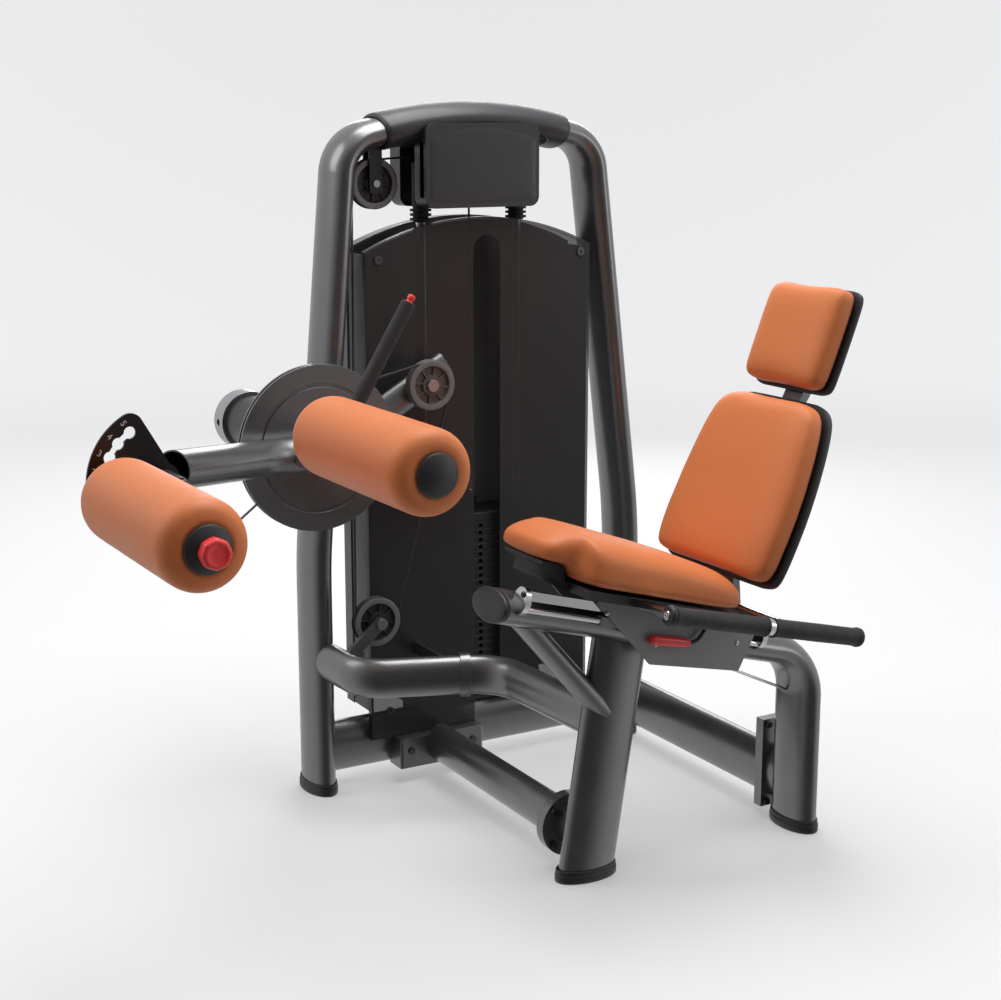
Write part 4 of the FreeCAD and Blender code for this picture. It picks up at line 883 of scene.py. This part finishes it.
def roller_caps():
    lathe("shin_cap_dome", at(SHIN, SHIN_NEAR_Y), -Y, domed(0.0395, 0.014), "shin_roller",
          "black_plastic", 64, ("shin_cap",))
    profile = domed(0.0415, 0.015, 0.0086) + [(0.006, 0.0086), (0.0003, 0.0086)]
    lathe("ankle_cap_dome", at(ANKLE, ANKLE_NEAR_Y), -Y, profile, "ankle_roller", "black_plastic", 64,
          ("ankle_cap",), looped=True)


def lock():
    """The pull knob of the ankle lock: eight flats, softened corners and a moulded recess in its face."""
    front = ANKLE_NEAR_Y - 0.044
    sections = ((0.025, 0.015), (0.025, 0.0215), (0.0232, 0.0248), (0.0205, 0.0262), (0.006, 0.0262),
                (0.0025, 0.025), (0.0006, 0.0222), (0.0, 0.018), (0.0009, 0.0166), (0.0012, 0.008))
    rings = []
    for depth, size in sections:
        ring = []
        for step in range(64):
            angle = 2 * math.pi * step / 64
            flat = math.cos(math.pi / 8) / math.cos((angle % (math.pi / 4)) - math.pi / 8)
            reach = size * (0.35 + 0.65 * flat)
            spoke = X * (reach * math.cos(angle)) + Z * (reach * math.sin(angle))
            ring.append(at(ANKLE, front + depth) + spoke)
        rings.append(ring)
    piece("lock_pull_knob", *loft(rings[::-1]), "lock", "red", replaces=("lock_knob",))
    stem = [(0.0, 0.0), (0.0, 0.008), (0.442, 0.008), (0.442, 0.0099), (0.505, 0.0099), (0.506, 0.005),
            (0.527, 0.005), (0.529, 0.003), (0.529, 0.0)]
    turned("lock_stem", at(ANKLE, front + 0.0262), Y, stem, 0.0006, "lock", "steel", 32)


def lever_parts():
    """The shin lever's rubber sleeve, red collar and push button."""
    along = (LEVER_TIP - LEVER_FOOT).normalized()
    length = (LEVER_TIP - LEVER_FOOT).length
    sleeve = [(0.078, 0.0132), (0.078, 0.0152), (0.084, 0.0152), (length - 0.006, 0.015),
              (length - 0.0012, 0.0146), (length - 0.0012, 0.0132)]
    turned("lever_sleeve", LEVER_FOOT, along, sleeve, 0.0012, "shin_link", "rubber", 40, looped=True)
    collar = [(0.0635, 0.0133), (0.0635, 0.0175), (0.077, 0.0175), (0.077, 0.0133)]
    turned("lever_collar", LEVER_FOOT, along, collar, 0.001, "shin_link", "red", 40, looped=True)
    button = [(-0.028, 0.0), (-0.028, 0.0092), (0.0015, 0.0092), (0.003, 0.006), (0.006, 0.0056),
              (0.007, 0.0078), (0.014, 0.0078), (0.016, 0.006), (0.0164, 0.0)]
    turned("lever_push_button", LEVER_TIP, along, button, 0.0008, "button", "red", 32, ("lever_button",))


# ---- handles and release lever
def grip_profile(length):
    """A rubber grip with a flange at both ends and a faintly waisted middle."""
    half = [(0.0, 0.0128), (0.0, 0.0196), (0.005, 0.0196), (0.0075, 0.018), (0.02, 0.0177)]
    return half + [(length / 2, 0.018)] + [(length - along, radius) for along, radius in reversed(half)]


def grips():
    """Two grips along each handle bar, and the cap and bolt at its ends."""
    for side, word in ((-1, "near"), (1, "far")):
        y = SEAT_Y + side * HANDLE_REACH
        front, rear = at(HANDLE_FRONT, y), at(HANDLE_REAR, y)
        along = (rear - front).normalized()
        rear_start = GRIP_LENGTH + 2 * GRIP_GAP
        rear_length = (rear - front).length - rear_start - 0.0005
        spans = (("front", front, GRIP_LENGTH), ("rear", front + along * rear_start, rear_length))
        for name, start, length in spans:
            replaced = ("hand_grips",) if word + name == "nearfront" else ()
            turned(word + "_" + name + "_grip", start, along, grip_profile(length), 0.0014, "seat", "grip",
                   replaces=replaced, looped=True)
        boss = [(-0.012, 0.0), (-0.012, 0.017), (-0.006, 0.02), (-0.0006, 0.02), (-0.0006, 0.0)]
        turned(word + "_grip_boss", front, along, boss, 0.003, "seat", "black_plastic")
        head = [(-0.015, 0.0), (-0.015, 0.002), (-0.0135, 0.0034), (-0.015, 0.0048), (-0.015, 0.0074),
                (-0.0136, 0.0088), (-0.0122, 0.0088), (-0.0122, 0.0)]
        turned(word + "_grip_bolt", front, along, head, 0.0008, "seat", "chrome", 32)
        cap = [(0.0, 0.0), (0.0, 0.0185), (0.003, 0.019), (0.007, 0.015), (0.0085, 0.0)]
        turned(word + "_rear_cap", rear + along * 0.0003, along, cap, 0.003, "seat", "black_plastic")


def release():
    """The carriage's release: a pivot boss, a black bent rod and a red grip that tapers towards the bend."""
    y = CARRIAGE_NEAR_Y - 0.01
    start, bend, tip = Vector((0.08, y, 0.517)), Vector((0.052, y, 0.484)), Vector((-0.052, y, 0.508))
    points = []
    for step in range(13):
        t = step / 12
        if t < 0.25:
            points.append(start.lerp(bend, t / 0.25 * 0.6))
        elif t > 0.6:
            points.append(bend.lerp(tip, 0.22 + (t - 0.6) / 0.4 * 0.78))
        else:
            u = (t - 0.25) / 0.35
            a, c = start.lerp(bend, 0.6), bend.lerp(tip, 0.22)
            points.append(a * (1 - u) ** 2 + bend * 2 * u * (1 - u) + c * u ** 2)
    tube("release_rod", points, 0.004, "release", "black_paint", sides=16, replaces=("release_lever",))
    boss = [(0.0, 0.0), (0.0, 0.007), (0.0012, 0.0082), (0.015, 0.0082), (0.0154, 0.007), (0.0154, 0.0)]
    turned("release_boss", at(start, CARRIAGE_NEAR_Y - 0.016), Y, boss, 0.0006, "release", "steel")
    grip = [(-0.004, 0.0), (-0.004, 0.006), (-0.002, 0.0098), (0.03, 0.0104), (0.08, 0.0092),
            (0.088, 0.0085), (0.09, 0.006), (0.09, 0.0)]
    turned("release_grip", tip, bend - tip, grip, 0.002, "release", "red", 40)


# ---- top cover and housings
def arch_point(x):
    """Centre of the top arch at x, and the direction along it."""
    radius = (ARCH_HALF ** 2 + ARCH_RISE ** 2) / (2 * ARCH_RISE)
    angle = math.asin((x - TOP_X) / radius)
    place = Vector((x, 0, ARCH_TOP_Z - radius + radius * math.cos(angle)))
    return place, Vector((math.cos(angle), 0, -math.sin(angle)))


def cover():
    """The moulded sleeve over the top tube, with rounded ends that close onto the tube."""
    low, high = TOP_X - 0.228, TOP_X + 0.228
    sections = [(low + 0.001, 0.0006), (low, 0.002), (low + 0.0006, 0.005), (low + 0.0035, 0.0078),
                (low + 0.009, 0.009)]
    for step in range(1, 16):
        sections.append((low + 0.009 + (high - low - 0.018) * step / 16, 0.009))
    sections += [(high - 0.009, 0.009), (high - 0.0035, 0.0078), (high - 0.0006, 0.005), (high, 0.002),
                 (high - 0.001, 0.0006)]
    rings = []
    for x, grow in sections:
        place, along = arch_point(x)
        rings.append(ellipse(place, Y, along.cross(Y), OVAL_WIDE + grow, OVAL_THIN + grow, 96))
    piece("top_sleeve", *loft(rings, looped=True), "frame", "housing", replaces=("top_cover",))


def housing_outline(low_x, high_x, low_z, corner, inset):
    """A housing's outline seen from the front: an arched top, soft corners and a slightly bowed bottom."""
    outline = []
    corner_steps, side_steps = 10, 12
    middle_x = (low_x + high_x) / 2
    half = (high_x - low_x) / 2 - inset

    def top(x):
        return HOUSING_TOP_Z - inset - HOUSING_CROWN * (x - middle_x) ** 2 / half

    def bottom(x):
        return low_z + inset + HOUSING_SAG * ((x - middle_x) / half) ** 2

    radius = max(0.002, corner - inset)
    corners = ((1, 1, top), (-1, 1, top), (-1, -1, bottom), (1, -1, bottom))
    for index, (sx, sz, level) in enumerate(corners):
        cx = middle_x + sx * (half - radius)
        cz = level(cx) - sz * radius
        for step in range(corner_steps + 1):
            angle = math.radians(90 * index + 90 * step / corner_steps)
            outline.append((cx + radius * math.cos(angle), cz + radius * math.sin(angle)))
        reach = (half - radius) * 2
        if index in (0, 2):
            for step in range(1, side_steps):
                x = cx - sx * reach * step / side_steps
                outline.append((x, level(x)))
    return outline


def housings():
    """The front pulley housing as one moulded shell, blank on its face."""
    sections = ((-0.052, 0.0), (-0.07, 0.0), (-0.0745, 0.0008), (-0.0775, 0.0028), (-0.0794, 0.0062),
                (-0.0802, 0.011), (-0.0807, 0.02), (-0.0812, 0.04))
    rings = []
    for y, inset in sections:
        outline = housing_outline(-0.16, 0.124, 1.302, 0.02, inset)
        rings.append([Vector((x, y, z)) for x, z in outline])
    piece("front_housing_face", *loft(rings), "frame", "housing")


# ---- cable, pulleys, dial and fasteners
def stack_cable():
    """The cable's drop to the stack, which shortens as the stack rises, and the fitting at its end."""
    low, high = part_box("cable_drop")
    middle = (Vector(low) + Vector(high)) / 2
    points = [Vector((middle.x, middle.y, low[2] + (high[2] - low[2]) * step / 40)) for step in range(41)]
    drop = tube("stack_cable", points, CABLE_RADIUS, "frame", "cable", replaces=("cable_drop",))
    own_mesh(drop)
    fitting = [(0.0, 0.0028), (0.0, 0.01), (0.01, 0.01), (0.013, 0.007), (0.03, 0.0062), (0.033, 0.004),
               (0.033, 0.0028)]
    foot = Vector((middle.x, middle.y, low[2] + 0.0002))
    turned("cable_end", foot, Z, fitting, 0.001, "stack", "steel", 24, looped=True)


def pulley_rims():
    """Polished rims on both faces of each pulley."""
    for word in ("upper", "lower", "corner", "centre"):
        low, high = (Vector(corner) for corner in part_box(word + "_pulley"))
        middle = (low + high) / 2
        rim = (high.x - low.x) / 2
        band = [(0.0, rim - 0.013), (0.0008, rim - 0.0125), (0.0008, rim - 0.0015), (0.0, rim - 0.0005)]
        for side, end in ((-1, "front"), (1, "back")):
            face = at(middle, middle.y + side * 0.0101)
            name = "{}_pulley_rim_{}".format(word, end)
            turned(name, face, Y * side, band, 0.0003, word + "_wheel", "pulley_rim", 64, looped=True)


NUMBER_SIZE = 0.017
NUMBER_RELIEF = 0.00012


def dial_numbers():
    """The numbers 1 to 5 beside the dial's holes."""
    for number, angle in enumerate(SECTOR_ANGLES, 1):
        curve = bpy.data.curves.new("number", "FONT")
        curve.body = str(number)
        curve.size = NUMBER_SIZE
        curve.extrude = NUMBER_RELIEF
        curve.align_x = "CENTER"
        curve.align_y = "CENTER"
        mesh = mesh_of("number", curve)
        outward = Vector((math.cos(angle), 0, math.sin(angle)))
        place = at(CARRIER, DIAL_FACE_Y - 0.00025) + outward * (SECTOR_RADIUS + 0.0215)
        turn = Matrix.Rotation(angle - math.pi, 4, Y * -1) @ Matrix.Rotation(math.pi / 2, 4, "X")
        mesh.transform(Matrix.Translation(place) @ turn)
        verts = [vertex.co.copy() for vertex in mesh.vertices]
        faces = [tuple(polygon.vertices) for polygon in mesh.polygons]
        piece("dial_{}".format(number), verts, faces, "swing", "white", smooth=False)


def bolt(name, place, axis, radius, body, finish="steel"):
    """A button-head socket screw on a washer. The place is on the surface and the axis points out of it."""
    washer = 0.0014
    head = radius * 0.55
    profile = rounded([
        (0.0002, 0.0), (0.0002, radius * 1.3), (washer, radius * 1.3), (washer, radius),
        (washer + head * 0.5, radius), (washer + head, radius * 0.72), (washer + head, radius * 0.42),
        (washer + head * 0.35, radius * 0.4), (washer + head * 0.35, 0.0),
    ], 0.0005, 3)
    lathe(name, place, axis, profile, body, finish, 30)


def fasteners():
    for index, (s, h) in enumerate(((0.318, -0.012), (0.332, -0.016), (0.2, 0.03), (0.53, 0.01)), 1):
        place = on_rail(s, h, CARRIAGE_NEAR_Y - 0.0001)
        bolt("carriage_bolt_{}".format(index), place, -Y, 0.0036, "seat", "chrome")
    along = (on_rail(0, 0) - on_rail(1, 0)).normalized()
    bolt("rail_bolt", on_rail(0.0139, 0.0395, -0.7765), along, 0.0048, "frame", "black_paint")
    bolt("pin_end_bolt", at(CARRIER, -0.5132), -Y, 0.009, "swing", "black_paint")
    bolt("axle_end_bolt", at(PIVOT, -0.4082), -Y, 0.012, "frame")


def weld(name, centre, along, side, up, half_side, half_up, target):
    """A weld bead where an oval tube, seen along its axis, meets another part's skin."""
    tree = BVHTree.FromObject(NODES[target], bpy.context.evaluated_depsgraph_get())
    line = []
    starts = ellipse(centre, side, up, half_side, half_up, 120)
    for step, start in enumerate(starts):
        hit = tree.ray_cast(start, along, 0.4)[0]
        if hit is not None:
            ripple = 0.0004 * math.sin(step * 2.1)
            line.append(hit - along * (0.0004 + ripple))
    if len(line) == len(starts):
        tube(name, line, 0.0024, "frame", "frame", closed=True, sides=8)


def welds():
    for side, word in ((-1, "left"), (1, "right")):
        base = Vector((side * 0.3, 0, 0.095))
        weld("base_weld_" + word, base, X * side, Y, Z, 0.032, 0.06, word + "_upright")
    weld("housing_weld", at(PIVOT, -0.1), Y, X, Z, 0.0605, 0.0605, "left_upright")
    brace_top = on_rail(0.05, -0.008)
    brace_low = Vector((-0.106, SEAT_Y, 0.346))
    run = (brace_low - brace_top).normalized()
    across = Y.cross(run)
    inside = brace_top.lerp(brace_low, 0.4)
    weld("brace_weld", inside, run, Y, across, 0.032, 0.022, "front_leg")
    weld("brace_weld_top", inside, -run, Y, across, 0.032, 0.022, "seat_rail")


# ---- build
def main():
    scene = bpy.context.scene
    scene.view_settings.view_transform = "Standard"
    add_camera()
    add_world()
    aim = (-0.3, -0.4, 0.7)
    add_area("key", (-3.0, 1.2, 2.9), aim, (1.6, 2.2), 24)
    add_area("fill", (2.8, -2.6, 1.8), aim, (0.8, 2.6), 14)
    add_area("top", (0.2, -0.3, 3.8), aim, (3.0, 1.8), 88)
    add_area("rear", (1.8, 3.0, 2.2), aim, (2.0, 2.0), 40)
    add_floor()
    paint_nodes()
    for make in (upholstery, caps, roller_caps, lock, lever_parts, grips, release, cover, housings,
                 stack_cable, pulley_rims, dial_numbers, fasteners, welds):
        make()


main()
